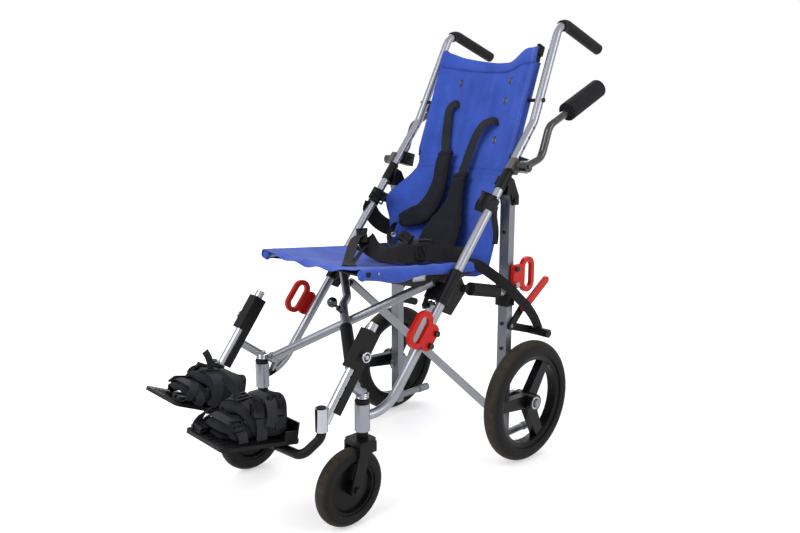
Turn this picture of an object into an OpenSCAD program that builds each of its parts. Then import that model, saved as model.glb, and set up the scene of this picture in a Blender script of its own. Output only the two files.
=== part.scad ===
// Folding special needs buggy: tube side frames, two scissor pairs, slung seat and back,
// swivel casters, braked rear wheels, telescopic footrests. Millimetres, +Z up, front at -Y.

/* [Wheels] */
// Rear wheel diameter over the tyre
rear_wheel_d = 318; // [300:1:330]
// Rear tyre width
rear_tyre_w = 47; // [40:1:52]
// How far the rear wheels' mid planes stand out from the side tubes
wheel_out = 46.5; // [44:0.5:58]
// Rear axle, behind the origin
axle_y = 245; // [238:1:252]
// Rear axle diameter
axle_d = 12; // [10:0.5:14]
// Caster wheel diameter over the tyre
caster_d = 178; // [164:1:182]
// Caster tyre width
caster_w = 38; // [32:1:42]
// How far the caster stems stand in from the side tubes
stem_in = 11.5; // [8:0.5:14]
// Caster stem, ahead of the origin
stem_ahead = 269; // [264:1:274]
// Offset of the caster axle from its stem
caster_trail = 40; // [34:1:46]
// Caster stem diameter
stem_d = 14; // [12:0.5:16]

/* [Side frame] */
// Distance between the side tubes
frame_w = 411; // [406:1:416]
// Main tube diameter
tube_d = 22.2; // [20:0.1:24]
// Main tube wall
tube_wall = 1.8; // [1.2:0.1:2.5]
// Slope of the main tube's straight run
leg_angle = 51.2; // [50:0.1:52.5]
// Height of the straight run where it crosses y = 0
leg_cross_z = 498; // [494:1:502]
// Height of the bend at the middle of the back
back_bend_z = 871; // [855:1:885]
// Slope of the tube above that bend
back_angle = 65; // [63:0.5:67]
// Height of the push handle's corner
handle_z = 1126; // [1110:1:1145]
// How far the handle leans in from the side tube
handle_in = 14.5; // [10:0.5:20]
// Fall of the push handle
handle_fall = 18.5; // [15:0.5:22]
// Rear end of the hand grips, behind the origin
handle_end = 606; // [590:1:620]
// Hand grip diameter
grip_d = 29; // [28:0.5:33]
// Height of the tube's lower run
foot_z = 240; // [237:1:243]
// Caster housing diameter
housing_d = 34; // [30:0.5:36]
// Caster housing bottom
housing_z0 = 209; // [205:1:213]
// Caster housing top
housing_z1 = 271; // [268:1:275]

/* [Rear leg] */
// Leg width across the frame
rear_leg_w = 29; // [26:0.5:31]
// Leg depth, front to back
rear_leg_t = 22; // [19:0.5:25]
// Leg wall
rear_leg_wall = 2; // [1.5:0.1:3]
// Leg middle, behind the origin
rear_leg_y = 211; // [208:1:214]
// Leg top
rear_leg_top = 694; // [690:1:698]
// Leg bottom
rear_leg_foot = 42; // [38:1:46]
// Length of the tipping peg behind the leg
tip_peg_l = 112; // [95:1:125]

/* [Folding] */
// How much narrower the folded buggy is
fold_travel = 160; // [145:1:165]
// Scissor tube diameter
link_d = 22.2; // [20:0.1:23]
// Scissor pivot pin diameter
pin_d = 10; // [8:0.5:11]
// Rear bar width
bar_w = 20; // [16:0.5:22]
// Rear bar thickness
bar_t = 9; // [7:0.5:10]
// Slider sleeve length
slider_l = 90; // [82:1:96]
// Slider wall round the tube
slider_wall = 4; // [3:0.1:5]

/* [Seat and back] */
// Seat rail diameter
rail_d = 16; // [14:0.5:17]
// Front of the seat, ahead of the origin
seat_front = 248; // [240:1:256]
// Back end of the seat rails, behind the origin
seat_back = 88; // [80:1:92]
// Height of the seat rails at the front
seat_front_z = 550; // [545:1:556]
// Height of the seat rails at the back
seat_back_z = 522; // [519:1:526]
// Sag of the seat cloth between its rails
seat_sag = 22; // [16:1:26]
// Cloth thickness
cloth_t = 3; // [2:0.2:4]
// Space from the side tubes' middle to the back's edges
back_in = 45.5; // [43:0.5:49]
// Top of the back at its corners
back_top_z = 1062; // [1050:1:1070]
// Dip of the back's top edge
back_dip = 34; // [26:1:40]

/* [Footrests] */
// Footrest tube diameter
foot_tube_d = 22; // [20:0.5:24]
// Slope of the footrest tubes
foot_angle = 53.4; // [52:0.2:55]
// Footplate width
plate_w = 148; // [142:1:151]
// Footplate length
plate_l = 186; // [178:1:192]
// Footplate tilt, toes up
plate_tilt = 10.8; // [8:0.2:13]
// Footplate thickness
plate_t = 8; // [6:0.5:9]

/* [Armrests] */
// Armrest tube diameter
arm_tube_d = 20; // [18:0.5:22]
// Armrest foam diameter
arm_pad_d = 49; // [44:0.5:52]
// Armrest foam length
arm_pad_l = 148; // [135:1:155]

/* [Hidden] */
$fn = 48;

// Radial clearance of a shaft that turns or slides in its bore
run_gap = 0.08;
// Clearance between pieces that stand beside each other
gap = 0.4;
// Clearance of a fixed piece round the one it holds
fit = 0.05;
// A cut's reach past the surface that it opens
over = 1;
silver = [0.72, 0.73, 0.76];
dark = [0.09, 0.09, 0.1];
red = [0.85, 0.12, 0.1];
blue = [0.2, 0.31, 0.72];
grey = [0.33, 0.36, 0.42];

// Vectors, mirrored points, and a point on the main tube's straight run
function unit(v) = v / norm(v);
function mirrored(p) = [-p.x, p.y, p.z];
function between(a, b, t) = a + (b - a) * t;
leg_dir = [0, cos(leg_angle), sin(leg_angle)];
leg_back = [0, sin(leg_angle), -cos(leg_angle)];
function leg_at(z) = [frame_w / 2, (z - leg_cross_z) / tan(leg_angle), z];

module side(s) {
    if (s > 0) children();
    else mirror([1, 0, 0]) children();
}

// Puts the local Z along d, at p
module aim(p, d) {
    translate(p) rotate([0, acos(d.z / norm(d)), atan2(d.y, d.x)]) children();
}

// Puts the local Z along the main tube's straight run, with local Y behind and below it
module on_leg(z) {
    translate(leg_at(z)) rotate([leg_angle - 90, 0, 0]) children();
}

// Makes an outline drawn in (y, z) a plate from x0 to x1
module plate_x(x0, x1) {
    translate([x0, 0, 0]) rotate([90, 0, 90]) linear_extrude(x1 - x0) children();
}

// A cylinder along X
module pin_x(x0, x1, y, z, d) {
    translate([x0, y, z]) rotate([0, 90, 0]) cylinder(h = x1 - x0, d = d);
}

module rod(a, b, d) {
    aim(a, b - a) cylinder(h = norm(b - a), d = d);
}

// A round bar through points, with one bend radius at every corner. A hairline stays open where a
// straight meets its bend, and a plug, thinner than a bar or wider than a bore, joins the two there
hair = 0.03;
plug_l = 2;
bar_plug = -0.5;
bore_plug = 0.3;
function turn(p, i) = acos(unit(p[i] - p[i - 1]) * unit(p[i + 1] - p[i]));
function lead(p, i, r) = (i == 0 || i == len(p) - 1) ? 0 : r * tan(turn(p, i) / 2);
module bent_rod(p, r, d, plug = bar_plug) {
    last = len(p) - 2;
    for (i = [0 : last]) {
        along = unit(p[i + 1] - p[i]);
        from = p[i] + along * lead(p, i, r);
        to = p[i + 1] - along * lead(p, i + 1, r);
        rod(from + along * (i > 0 ? hair : 0), to - along * (i < last ? hair : 0), d);
        if (i > 0) rod(from - along * plug_l, from + along * plug_l, d + plug);
        if (i < last) rod(to - along * plug_l, to + along * plug_l, d + plug);
    }
    for (i = [1 : last]) {
        u = unit(p[i] - p[i - 1]);
        v = unit(p[i + 1] - p[i]);
        inward = unit(v - u * (u * v));
        c = p[i] - u * lead(p, i, r) + inward * r;
        w = cross(u, inward);
        multmatrix([[-inward.x, u.x, w.x, c.x], [-inward.y, u.y, w.y, c.y],
                    [-inward.z, u.z, w.z, c.z], [0, 0, 0, 1]])
            rotate_extrude(angle = turn(p, i)) translate([r, 0]) circle(d = d);
    }
}

// Flat outlines: a bar with round ends, a hair narrower than they are, and a rectangle with round corners
module bar_2d(p, q, d) {
    flank = d - 2 * hair;
    translate(p) circle(d = d);
    translate(q) circle(d = d);
    translate(p) rotate(atan2(q.y - p.y, q.x - p.x)) translate([0, -flank / 2]) square([norm(q - p), flank]);
}
module round_rect(w, l, r) {
    translate([r, 0]) square([w - 2 * r, l]);
    translate([0, r]) square([w, l - 2 * r]);
    for (x = [r, w - r], y = [r, l - r]) translate([x, y]) circle(r = r);
}

// Cloth sheet over a grid of points, given as rows, with its thickness along each point's lift
function sheet_faces(m, n) = let (k = m * n) concat(
    [for (i = [0 : m - 2], j = [0 : n - 2]) each
        [[i * n + j, (i + 1) * n + j, i * n + j + 1], [(i + 1) * n + j, (i + 1) * n + j + 1, i * n + j + 1]]],
    [for (i = [0 : m - 2], j = [0 : n - 2]) each
        [[k + i * n + j, k + i * n + j + 1, k + (i + 1) * n + j],
         [k + (i + 1) * n + j, k + i * n + j + 1, k + (i + 1) * n + j + 1]]],
    [for (i = [0 : m - 2], e = [0, n - 1]) let (a = i * n + e, b = a + n)
        each e == 0 ? [[a, k + a, b], [b, k + a, k + b]] : [[a, b, k + a], [b, k + b, k + a]]],
    [for (j = [0 : n - 2], e = [0, m - 1]) let (a = e * n + j, b = a + 1)
        each e == 0 ? [[a, b, k + a], [b, k + b, k + a]] : [[a, k + a, b], [b, k + a, k + b]]]);
module sheet(rows, lift) {
    m = len(rows);
    n = len(rows[0]);
    flat = [for (row = rows) each row];
    polyhedron(concat(flat, [for (p = flat) p + lift]), sheet_faces(m, n));
}

// Webbing of one width through points, with its flat side along the given way across
module strap(p, across, t) {
    rows = [for (q = p) [q + across / 2, q - across / 2]];
    sheet(rows, unit(cross(across, p[len(p) - 1] - p[0])) * t);
}

// Main tube route
stem_x = frame_w / 2 - stem_in;
back_half_w = frame_w / 2 - back_in;
stem_at = [stem_x, -stem_ahead, 0];
leg_low = leg_at(foot_z);
leg_top = leg_at(back_bend_z);
handle_corner = [frame_w / 2 - handle_in, leg_top.y + (handle_z - back_bend_z) / tan(back_angle), handle_z];
grip_dir = [0, cos(handle_fall), -sin(handle_fall)];
grip_cap = 6;
grip_round = 3;
grip_reach = (handle_end - handle_corner.y - (grip_d / 2 - grip_round) * sin(handle_fall)) / cos(handle_fall);
handle_tip = handle_corner + grip_dir * (grip_reach - grip_cap);
tube_mid = leg_top - leg_dir * 120;
low_bend_r = 96;
high_bend_r = 40;

// Slider on the main tube, with the upper pivots of both scissor pairs
slider_z = 482;
slider_low = 35;
slider_d = tube_d + 2 * run_gap + 2 * slider_wall;
pivot_in = 46;
link_out = 21;
link_pivot = leg_at(slider_z) + [-pivot_in, 0, 0] - leg_back * link_out;
lug_t = 14;

// Scissor pins by the caster posts, and the front scissor tubes
post_d = 20;
post_z = 302;
boss_d = 14;
collar_l = 9;
eye_t = 12;
eye_wall = 7.5;
eye_d = pin_d + 2 * eye_wall;
eye_at = [stem_x - 22, 16 - stem_ahead, 287];
link_reach = link_pivot - mirrored(eye_at);
// The slide that keeps the scissor tubes' length while the frame gets narrower
slide_half = link_reach * leg_dir;
slide_travel = sqrt(pow(slide_half, 2) + pow(link_reach.x, 2) - pow(link_reach.x - fold_travel, 2)) - slide_half;
link_folded = link_reach - [fold_travel, 0, 0] + leg_dir * slide_travel;
link_axis = unit(cross(link_reach, link_folded));
pin_dir = mirrored(link_axis);
link_step = link_d + 3;
link_over = 13;

// Rear bars, from a slider's lug to the foot of the other rear leg
leg_x = frame_w / 2 - 5;
leg_in = leg_x - rear_leg_w / 2;
leg_out = leg_x + rear_leg_w / 2;
leg_rear = rear_leg_y + rear_leg_t / 2;
bar_pivot = leg_at(462) + [-pivot_in, 0, 0] + leg_back * 30;
bar_end = [leg_in - 30, rear_leg_y - 12, 122];
bar_reach = bar_end - mirrored(bar_pivot);
bar_folded_x = bar_reach.x - fold_travel + 4;
bar_fall = [0, bar_reach.y, bar_reach.z] - leg_dir * slide_travel;
bar_folded = [bar_folded_x, 0, 0] + unit(bar_fall) * sqrt(pow(norm(bar_reach), 2) - pow(bar_folded_x, 2));
bar_axis = unit(cross(bar_reach, bar_folded));
bar_step = 11.5;
bar_collar = 12;

// Struts with their rubber grips, from the slider's plate to the rear leg
tongue_t = 5;
cheek_x = leg_out - tongue_t - 2;
strut_x = leg_out + 1;
strut_front = [strut_x, leg_at(507).y, 507] + leg_back * 38;
strut_rear = [strut_x, rear_leg_y - 2, 446];
strut_d = 20;
strut_grip_d = 32;
strut_dir = unit(strut_rear - strut_front);

// Rear wheels
axle_z = rear_wheel_d / 2;
rear_x = frame_w / 2 + wheel_out;
hub_l = 60;
hub_d = 44;
rim_d = rear_wheel_d - 70;

// Casters
caster_axle_d = 8;
caster_rim_d = caster_d - 56;
fork_gap = 3;
fork_t = 5;
crown_t = 7;
crown_z = caster_d + 4 + crown_t;

// Footrests
foot_dir = [0, -cos(foot_angle), -sin(foot_angle)];
foot_back = [0, sin(foot_angle), -cos(foot_angle)];
foot_x = stem_x + 20;
foot_top = [foot_x, -262, 436];
head_l = 90;
rail_l = 186;
rail_wall = 4;
rail_depth = foot_tube_d / 2 + run_gap + rail_wall + 3;
foot_drop = 212;
foot_proud = 18;
socket_d = 27;
swivel_d = 20;
socket_at = [foot_x, foot_top.y + foot_dir.y * foot_drop - 8, 0];
socket_z0 = 250;
socket_z1 = 300;
plate_front = 606;
plate_inner = 30;
plate_front_z = 262;
lip_h = 33;
lip_t = 5;
lip_l = 30;
carrier_tip = foot_top + foot_dir * 118;
pin_along = 56;

// Armrests and brakes
arm_clear = 2;
arm_x = frame_w / 2 + tube_d / 2 + arm_pad_d / 2 + arm_clear;
arm_pivot = [arm_x, 222, 764];
arm_eye_d = 28;
arm_eye_t = 22;
arm_path = [arm_pivot, arm_pivot + [0, 63, 19], arm_pivot + [0, 93, 98], arm_pivot + [0, 297, 191]];
arm_bend_r = 40;
brake_at = [leg_out, rear_leg_y + 3, rear_wheel_d + 40];
shoe_d = 22;
shoe_back = 55;
shoe_off = rear_wheel_d / 2 + shoe_d / 2 + 11.5;
shoe_at = [0, axle_y + shoe_back, axle_z + sqrt(pow(shoe_off, 2) - pow(shoe_back, 2))];
lever_root = brake_at + [0, 48, 46];
lever_tip = brake_at + [0, 132, 103];
arm_t = 6;

// Seat rails
rail_x = frame_w / 2 - 26;
rail_front = [rail_x, -seat_front, seat_front_z];
rail_back = [rail_x, seat_back, seat_back_z];
function rail_at(y) = between(rail_front, rail_back, (y + seat_front) / (seat_back + seat_front));

// Back plane: upright behind the main tubes, with its stays along both edges
back_slope = 69.5;
back_top_y = 376;
function back_at(z) = back_top_y - (back_top_z - z) / tan(back_slope);
stay_w = 20;
stay_t = 4;
stay_foot_z = 775;
stay_bolt_z = 925;
stay_x = back_half_w + 0.7 + stay_t / 2;

module main_tube(s) {
    seat = eye_at + pin_dir * ((s > 0 ? link_step : 0) - eye_t / 2 - gap);
    post_mid = stem_at + [0, 0, post_z - post_d / 2];
    boss_root = s > 0 ? post_mid : stem_at + [5, 29, foot_z + 1];
    low_run = [stem_at + [0, 0, foot_z], leg_low, tube_mid];
    high_run = [tube_mid - leg_dir * plug_l, leg_top, handle_corner, handle_tip];
    bore_d = tube_d - 2 * tube_wall;
    color(silver) side(s) difference() {
        union() {
            bent_rod(low_run, low_bend_r, tube_d);
            bent_rod(high_run, high_bend_r, tube_d - 2 * hair);
            translate([stem_at.x, stem_at.y, housing_z0]) cylinder(h = housing_z1 - housing_z0, d = housing_d);
            translate([stem_at.x, stem_at.y, housing_z1 - over]) cylinder(h = post_z - housing_z1 + over, d = post_d);
            rod(boss_root, seat - pin_dir * collar_l, boss_d);
            aim(seat - pin_dir * (collar_l + 4), pin_dir) cylinder(h = collar_l + 4, d = boss_d + 1);
            aim(seat - pin_dir * 6, pin_dir) cylinder(h = eye_t + gap + 10, d = pin_d);
            difference() {
                rod(post_mid, carrier_tip, post_d);
                aim(foot_top, foot_dir) translate([-post_d - rail_depth, -post_d, 0])
                    cube([post_d + 2 * rail_depth, 2 * post_d, rail_l]);
            }
        }
        bent_rod([stem_at + [0, housing_d / 2, foot_z], leg_low, tube_mid + leg_dir], low_bend_r, bore_d, bore_plug);
        bent_rod([high_run[0], leg_top, handle_corner, handle_tip + grip_dir], high_bend_r, bore_d - 2 * hair, bore_plug);
        translate([stem_at.x, stem_at.y, housing_z0 - over])
            cylinder(h = housing_z1 - housing_z0 - 8 + over, d = stem_d + 2 * run_gap);
    }
}

// Smooth rubber grip: starts half way round the handle's bend and has a closed, rounded end
module hand_grip(s) {
    rise = unit(handle_corner - leg_top);
    start = handle_corner - rise * 1.6 * high_bend_r;
    end = handle_tip + grip_dir * (grip_cap - grip_round);
    color(dark) side(s) difference() {
        union() {
            bent_rod([start, handle_corner, end], high_bend_r, grip_d);
            aim(end - grip_dir * plug_l, grip_dir)
                cylinder(h = plug_l + grip_round, d1 = grip_d - 10 * hair, d2 = grip_d - 2 * grip_round);
        }
        bent_rod([start - rise * over, handle_corner, handle_tip], high_bend_r, tube_d + 2 * fit, bore_plug);
        translate(handle_corner) rotate([(back_angle - handle_fall) / 2, 0, 0])
            translate([-grip_reach, -2 * grip_reach, -grip_reach]) cube(2 * grip_reach);
    }
}

// Sleeve on the main tube with a pair of cheeks that hold the top of the rear leg
bracket_z = 730;
bracket_wall = 2.2;
cheek_t = 5;
leg_bolt = [rear_leg_y + 5, 679];
leg_bolt_d = 8;
module upper_bracket(s) {
    sleeve_d = tube_d + 2 * bracket_wall;
    color(dark) side(s) difference() {
        union() {
            on_leg(bracket_z) cylinder(h = 54, d = sleeve_d, center = true);
            for (x = [leg_in - gap - cheek_t, leg_out + gap]) plate_x(x, x + cheek_t)
                polygon([[leg_at(722).y, 722], [leg_at(740).y, 740], [leg_at(740).y + 14, 732],
                         [leg_rear + 8, 690], [leg_rear + 8, 668], [rear_leg_y - 4, 668], [rear_leg_y - 12, 700]]);
            plate_x(leg_in - gap - cheek_t, leg_out + gap + cheek_t)
                polygon([[leg_at(706).y + 14, rear_leg_top + gap], [leg_at(734).y, 734],
                         [leg_at(734).y + 15, 730], [leg_rear + 6, rear_leg_top + gap]]);
            pin_x(leg_in - cheek_t - 5, leg_out + cheek_t + 5, leg_bolt.x, leg_bolt.y, leg_bolt_d);
            pin_x(leg_out + cheek_t, leg_out + cheek_t + 5, leg_bolt.x, leg_bolt.y, leg_bolt_d + 6);
        }
        on_leg(bracket_z) cylinder(h = 140, d = tube_d + 2 * fit, center = true);
    }
}

// Upright rectangular tube with the axle block, the axle, the tipping peg and the rear bar's stud
module rear_leg(s) {
    block_t = 12;
    color(grey) side(s) {
        difference() {
            union() {
                translate([leg_in, rear_leg_y - rear_leg_t / 2, rear_leg_foot])
                    cube([rear_leg_w, rear_leg_t, rear_leg_top - rear_leg_foot]);
                plate_x(leg_out - block_t, leg_out)
                    bar_2d([rear_leg_y, axle_z], [axle_y, axle_z], 2.6 * axle_d);
                pin_x(leg_out, rear_x - hub_l / 2 - gap, axle_y, axle_z, 2 * axle_d);
                pin_x(leg_in - 16, leg_in + rear_leg_wall, rear_leg_y - 4, 122, 9);
                rod([leg_x, rear_leg_y, rear_leg_foot + 14], [leg_x, leg_rear + tip_peg_l, rear_leg_foot + 14], 18);
                rod([leg_x, leg_rear + tip_peg_l - 34, rear_leg_foot + 14],
                    [leg_x, leg_rear + tip_peg_l + 4, rear_leg_foot + 14], 22);
            }
            translate([leg_in + rear_leg_wall, rear_leg_y - rear_leg_t / 2 + rear_leg_wall, rear_leg_foot + 28])
                cube([rear_leg_w - 2 * rear_leg_wall, rear_leg_t - 2 * rear_leg_wall, rear_leg_top - rear_leg_foot]);
            pin_x(leg_in - over, leg_out + over, leg_bolt.x, leg_bolt.y, leg_bolt_d + 2 * fit);
        }
        pin_x(leg_out - block_t / 2, rear_x + hub_l / 2 + gap + 5, axle_y, axle_z, axle_d);
        pin_x(rear_x + hub_l / 2 + gap, rear_x + hub_l / 2 + gap + 6, axle_y, axle_z, 1.7 * axle_d);
        pin_x(leg_out - over, brake_at.x + gap + arm_t + 1, brake_at.y, brake_at.z, pin_d);
    }
}

// Transit tie-down loops: an eye bolted to the main tube, and one behind the rear leg
loop_t = 10;
loop_w = 52;
loop_l = 92;
loop_ring = 13;
module loop_2d() {
    difference() {
        bar_2d([0, loop_w / 2 - loop_l / 2], [0, loop_l / 2 - loop_w / 2], loop_w);
        bar_2d([0, loop_w / 2 - loop_l / 2], [0, loop_l / 2 - loop_w / 2], loop_w - 2 * loop_ring);
    }
}
module front_loop(s) {
    out = tube_d / 2 + 8;
    ring_y = -loop_w + 4;
    color(red) side(s) on_leg(386) {
        plate_x(out, out + loop_t) translate([ring_y, 0]) loop_2d();
        plate_x(out, out + loop_t) difference() {
            bar_2d([-10, -16], [-10, 16], 34);
            translate([ring_y, 0]) bar_2d([0, -20], [0, 20], loop_w - loop_ring);
        }
        for (z = [-16, 16]) {
            difference() {
                pin_x(0, out + loop_t + 5, 0, z, 9);
                cylinder(h = 60, d = tube_d + 2 * fit, center = true);
                pin_x(-20, 0, 0, z, 12);
            }
        }
    }
}
module rear_loop(s) {
    ring_y = leg_rear + loop_w - 10;
    color(red) side(s) translate([0, 0, 488]) {
        plate_x(leg_out + 5, leg_out + 5 + loop_t) translate([ring_y, 0]) loop_2d();
        plate_x(leg_out + 5, leg_out + 5 + loop_t) difference() {
            translate([leg_rear - 16, -30]) round_rect(loop_w - 8, 60, 8);
            translate([ring_y, 0]) bar_2d([0, -20], [0, 20], loop_w - loop_ring);
        }
        for (z = [-20, 20]) pin_x(leg_out, leg_out + loop_t + 10, leg_rear - 6, z, 9);
    }
}

// Clamp head and channel that carry the footrest tube
module footrest_rail(s) {
    half = foot_tube_d / 2 + run_gap + rail_wall;
    color(dark) side(s) aim(foot_top, foot_dir) difference() {
        union() {
            translate([-half, -half, 0]) cube([half + rail_depth, 2 * half, head_l]);
            translate([0, -half, 0]) cube([rail_depth, 2 * half, rail_l]);
        }
        translate([0, 0, -over]) cylinder(h = rail_l + 2 * over, d = foot_tube_d + 2 * run_gap);
        translate([-half, -half + rail_wall, head_l]) cube([half, 2 * half - 2 * rail_wall, rail_l]);
        translate([0, 0, pin_along]) rotate([-90, 0, 0]) cylinder(h = 2 * half, d = 8 + 2 * run_gap);
    }
}

// Bronze saddle on the tube's outer side, with the armrest's pivot pin
module armrest_clamp(s) {
    half = tube_d / 2 + 4;
    color([0.42, 0.38, 0.33]) side(s) {
        difference() {
            union() {
                on_leg(arm_pivot.z) translate([over, -half, -16]) cube([half + 3 - over, 2 * half, 32]);
                pin_x(frame_w / 2 + half, arm_x - arm_eye_t / 2 - gap, arm_pivot.y, arm_pivot.z, arm_eye_d - 6);
                pin_x(frame_w / 2 + half, arm_x + arm_eye_t / 2 + 4, arm_pivot.y, arm_pivot.z, pin_d);
            }
            on_leg(arm_pivot.z) cylinder(h = 60, d = tube_d + 2 * fit, center = true);
        }
    }
}

// Flat stay in the back's edge hem, with a capped top and a spacer bolt to the main tube
module back_stay(s) {
    rise = back_top_z - stay_foot_z;
    lean = 90 - back_slope;
    color(dark) side(s) {
        translate([stay_x, back_at(stay_foot_z), stay_foot_z]) rotate([-lean, 0, 0])
            translate([-stay_t / 2, -stay_w / 2, 0]) cube([stay_t, stay_w, rise / cos(lean)]);
        translate([stay_x, back_at(back_top_z - 22), back_top_z - 22]) rotate([-lean, 0, 0])
            translate([-stay_t / 2, -stay_w / 2 - 2, 0]) cube([2 * stay_t, stay_w + 4, 26]);
        difference() {
            pin_x(stay_x, frame_w / 2, back_at(stay_bolt_z), stay_bolt_z, 9);
            bent_rod([tube_mid, leg_top, handle_corner, handle_tip], high_bend_r, tube_d + 2 * fit);
        }
    }
}

// Sleeve that slides on the main tube, with the inner lug, the rear bar's pin and the strut's cheek
module slider(s) {
    color(dark) side(s) difference() {
        union() {
            on_leg(slider_z) {
                translate([0, 0, -slider_low]) cylinder(h = slider_l, d = slider_d);
                translate([-pivot_in - 12, -lug_t + 9, -26]) cube([pivot_in + 4, lug_t, 44]);
            }
            bar_seat = bar_pivot + mirrored(bar_axis) * ((s > 0 ? -bar_step : bar_step) - bar_t / 2 - gap);
            rod(leg_at(466) - [pivot_in + 5, 0, 0] - leg_back, bar_seat - mirrored(bar_axis) * bar_collar, boss_d - 2);
            aim(bar_seat - mirrored(bar_axis) * (bar_collar + 4), mirrored(bar_axis)) cylinder(h = bar_collar + 4, d = boss_d);
            aim(bar_seat - mirrored(bar_axis) * 4, mirrored(bar_axis)) cylinder(h = bar_t + gap + 10, d = pin_d);
            plate_x(cheek_x, cheek_x + tongue_t) polygon([
                [leg_at(524).y, 524], [strut_front.y, strut_front.z + 12], [strut_front.y + 9, strut_front.z],
                [strut_front.y + 4, strut_front.z - 12], [leg_at(452).y + 30, 424], [leg_at(452).y + 4, 436], [leg_at(462).y, 462]]);
            pin_x(cheek_x, cheek_x + 2 * tongue_t + 4, strut_front.y, strut_front.z, pin_d);
            rail_pin = rail_at(leg_at(525).y - 4);
            pin_x(rail_x, frame_w / 2, rail_pin.y, rail_pin.z - 4, 12);
        }
        on_leg(slider_z) cylinder(h = 300, d = tube_d + 2 * run_gap, center = true);
        rod(rail_front, rail_back, rail_d + 2 * fit);
    }
}

// Seat rail in the seat's side hem, with end caps
module seat_rail(s) {
    along = unit(rail_back - rail_front);
    color(silver) side(s) {
        rod(rail_front, rail_back, rail_d);
        rod(rail_front - along * 4, rail_front + along * 10, rail_d + 3);
    }
}

// Front scissor tubes: the right one is straight, the left one steps over it at the crossing
module link_eye(p) {
    difference() {
        children();
        aim(p - pin_dir * eye_t, pin_dir) cylinder(h = 2 * eye_t, d = pin_d + 2 * run_gap);
    }
}
module link_bolt(p) {
    aim(p - pin_dir * (link_d / 2 + 2), pin_dir) cylinder(h = link_d + 6, d = pin_d);
    aim(p + pin_dir * (link_d / 2 - 1), pin_dir) cylinder(h = 6, d = pin_d + 7);
}
module front_link_right() {
    top = mirrored(link_pivot);
    along = unit(top - eye_at);
    color(silver) mirror([1, 0, 0]) link_eye(eye_at) {
        aim(eye_at - pin_dir * eye_t / 2, pin_dir) cylinder(h = eye_t, d = eye_d);
        rod(eye_at + along * (eye_d / 2 - 1.5), top + along * link_over, link_d);
        link_bolt(top);
        rod(eye_at + along * pin_d, eye_at + along * eye_d, eye_t - 1);
    }
}
jog_from = 0.6;
jog_to = 0.71;
module front_link_left() {
    eye = eye_at + pin_dir * link_step;
    top = mirrored(link_pivot);
    along = unit(top - eye_at);
    step = pin_dir * link_step;
    color(silver) link_eye(eye) {
        aim(eye - pin_dir * eye_t / 2, pin_dir) cylinder(h = eye_t, d = eye_d);
        rod(eye + along * pin_d, eye + along * eye_d, eye_t - 1);
        bent_rod([eye + along * (eye_d / 2 - 1.5), between(eye_at, top, jog_from) + step,
                  between(eye_at, top, jog_to), top + along * link_over], 40, link_d);
        link_bolt(top);
    }
}

// Rubber sleeve on the left scissor tube, below the crossing
module link_sleeve() {
    eye = eye_at + pin_dir * link_step;
    top = mirrored(link_pivot) + pin_dir * link_step;
    color(dark) difference() {
        rod(between(eye, top, 0.12), between(eye, top, 0.42), link_d + 8);
        rod(eye, top, link_d + 2 * fit);
    }
}

// Ball knob on its spring plunger
knob_d = 26;
knob_at = 0.53;
module lock_knob() {
    foot = between(eye_at, mirrored(link_pivot), knob_at) + pin_dir * (link_step + link_d / 2 + gap);
    color(dark) {
        aim(foot, pin_dir) cylinder(h = 12, d = 15);
        aim(foot, pin_dir) cylinder(h = 30, d = 8);
        translate(foot + pin_dir * 36) sphere(d = knob_d);
    }
}

// Flat rear scissor bars, one in front of the other
module rear_bar(s) {
    start = mirrored(bar_pivot) + bar_axis * (s > 0 ? -bar_step : bar_step);
    along = unit(bar_reach);
    across = cross(bar_axis, along);
    color(silver) side(-s) difference() {
        multmatrix([[along.x, across.x, bar_axis.x, start.x], [along.y, across.y, bar_axis.y, start.y],
                    [along.z, across.z, bar_axis.z, start.z], [0, 0, 0, 1]])
            translate([0, 0, -bar_t / 2]) linear_extrude(bar_t) bar_2d([0, 0], [norm(bar_reach), 0], bar_w);
        aim(start - bar_axis * bar_t, bar_axis) cylinder(h = 2 * bar_t, d = pin_d + 2 * run_gap);
    }
}

// Strut: a tube with a rubber grip and two flattened ends
module strut(s) {
    tube_from = strut_front + strut_dir * 16;
    tube_to = strut_rear - strut_dir * 32;
    color(dark) side(s) difference() {
        union() {
            rod(tube_from, tube_to, strut_d);
            rod(tube_from + strut_dir * 3, between(tube_from, tube_to, 0.82), strut_grip_d);
            plate_x(cheek_x + tongue_t + gap, cheek_x + 2 * tongue_t + gap) bar_2d(
                [strut_front.y, strut_front.z], [tube_from.y + 16, tube_from.z - 3], 18);
            plate_x(leg_out + gap, leg_out + gap + tongue_t) bar_2d(
                [strut_rear.y, strut_rear.z], [tube_to.y - 8, tube_to.z + 2], 17);
            pin_x(leg_out + gap, leg_out + gap + tongue_t + 5, strut_rear.y, strut_rear.z, 12);
        }
        pin_x(cheek_x, cheek_x + 4 * tongue_t, strut_front.y, strut_front.z, pin_d + 2 * run_gap);
    }
}

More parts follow.
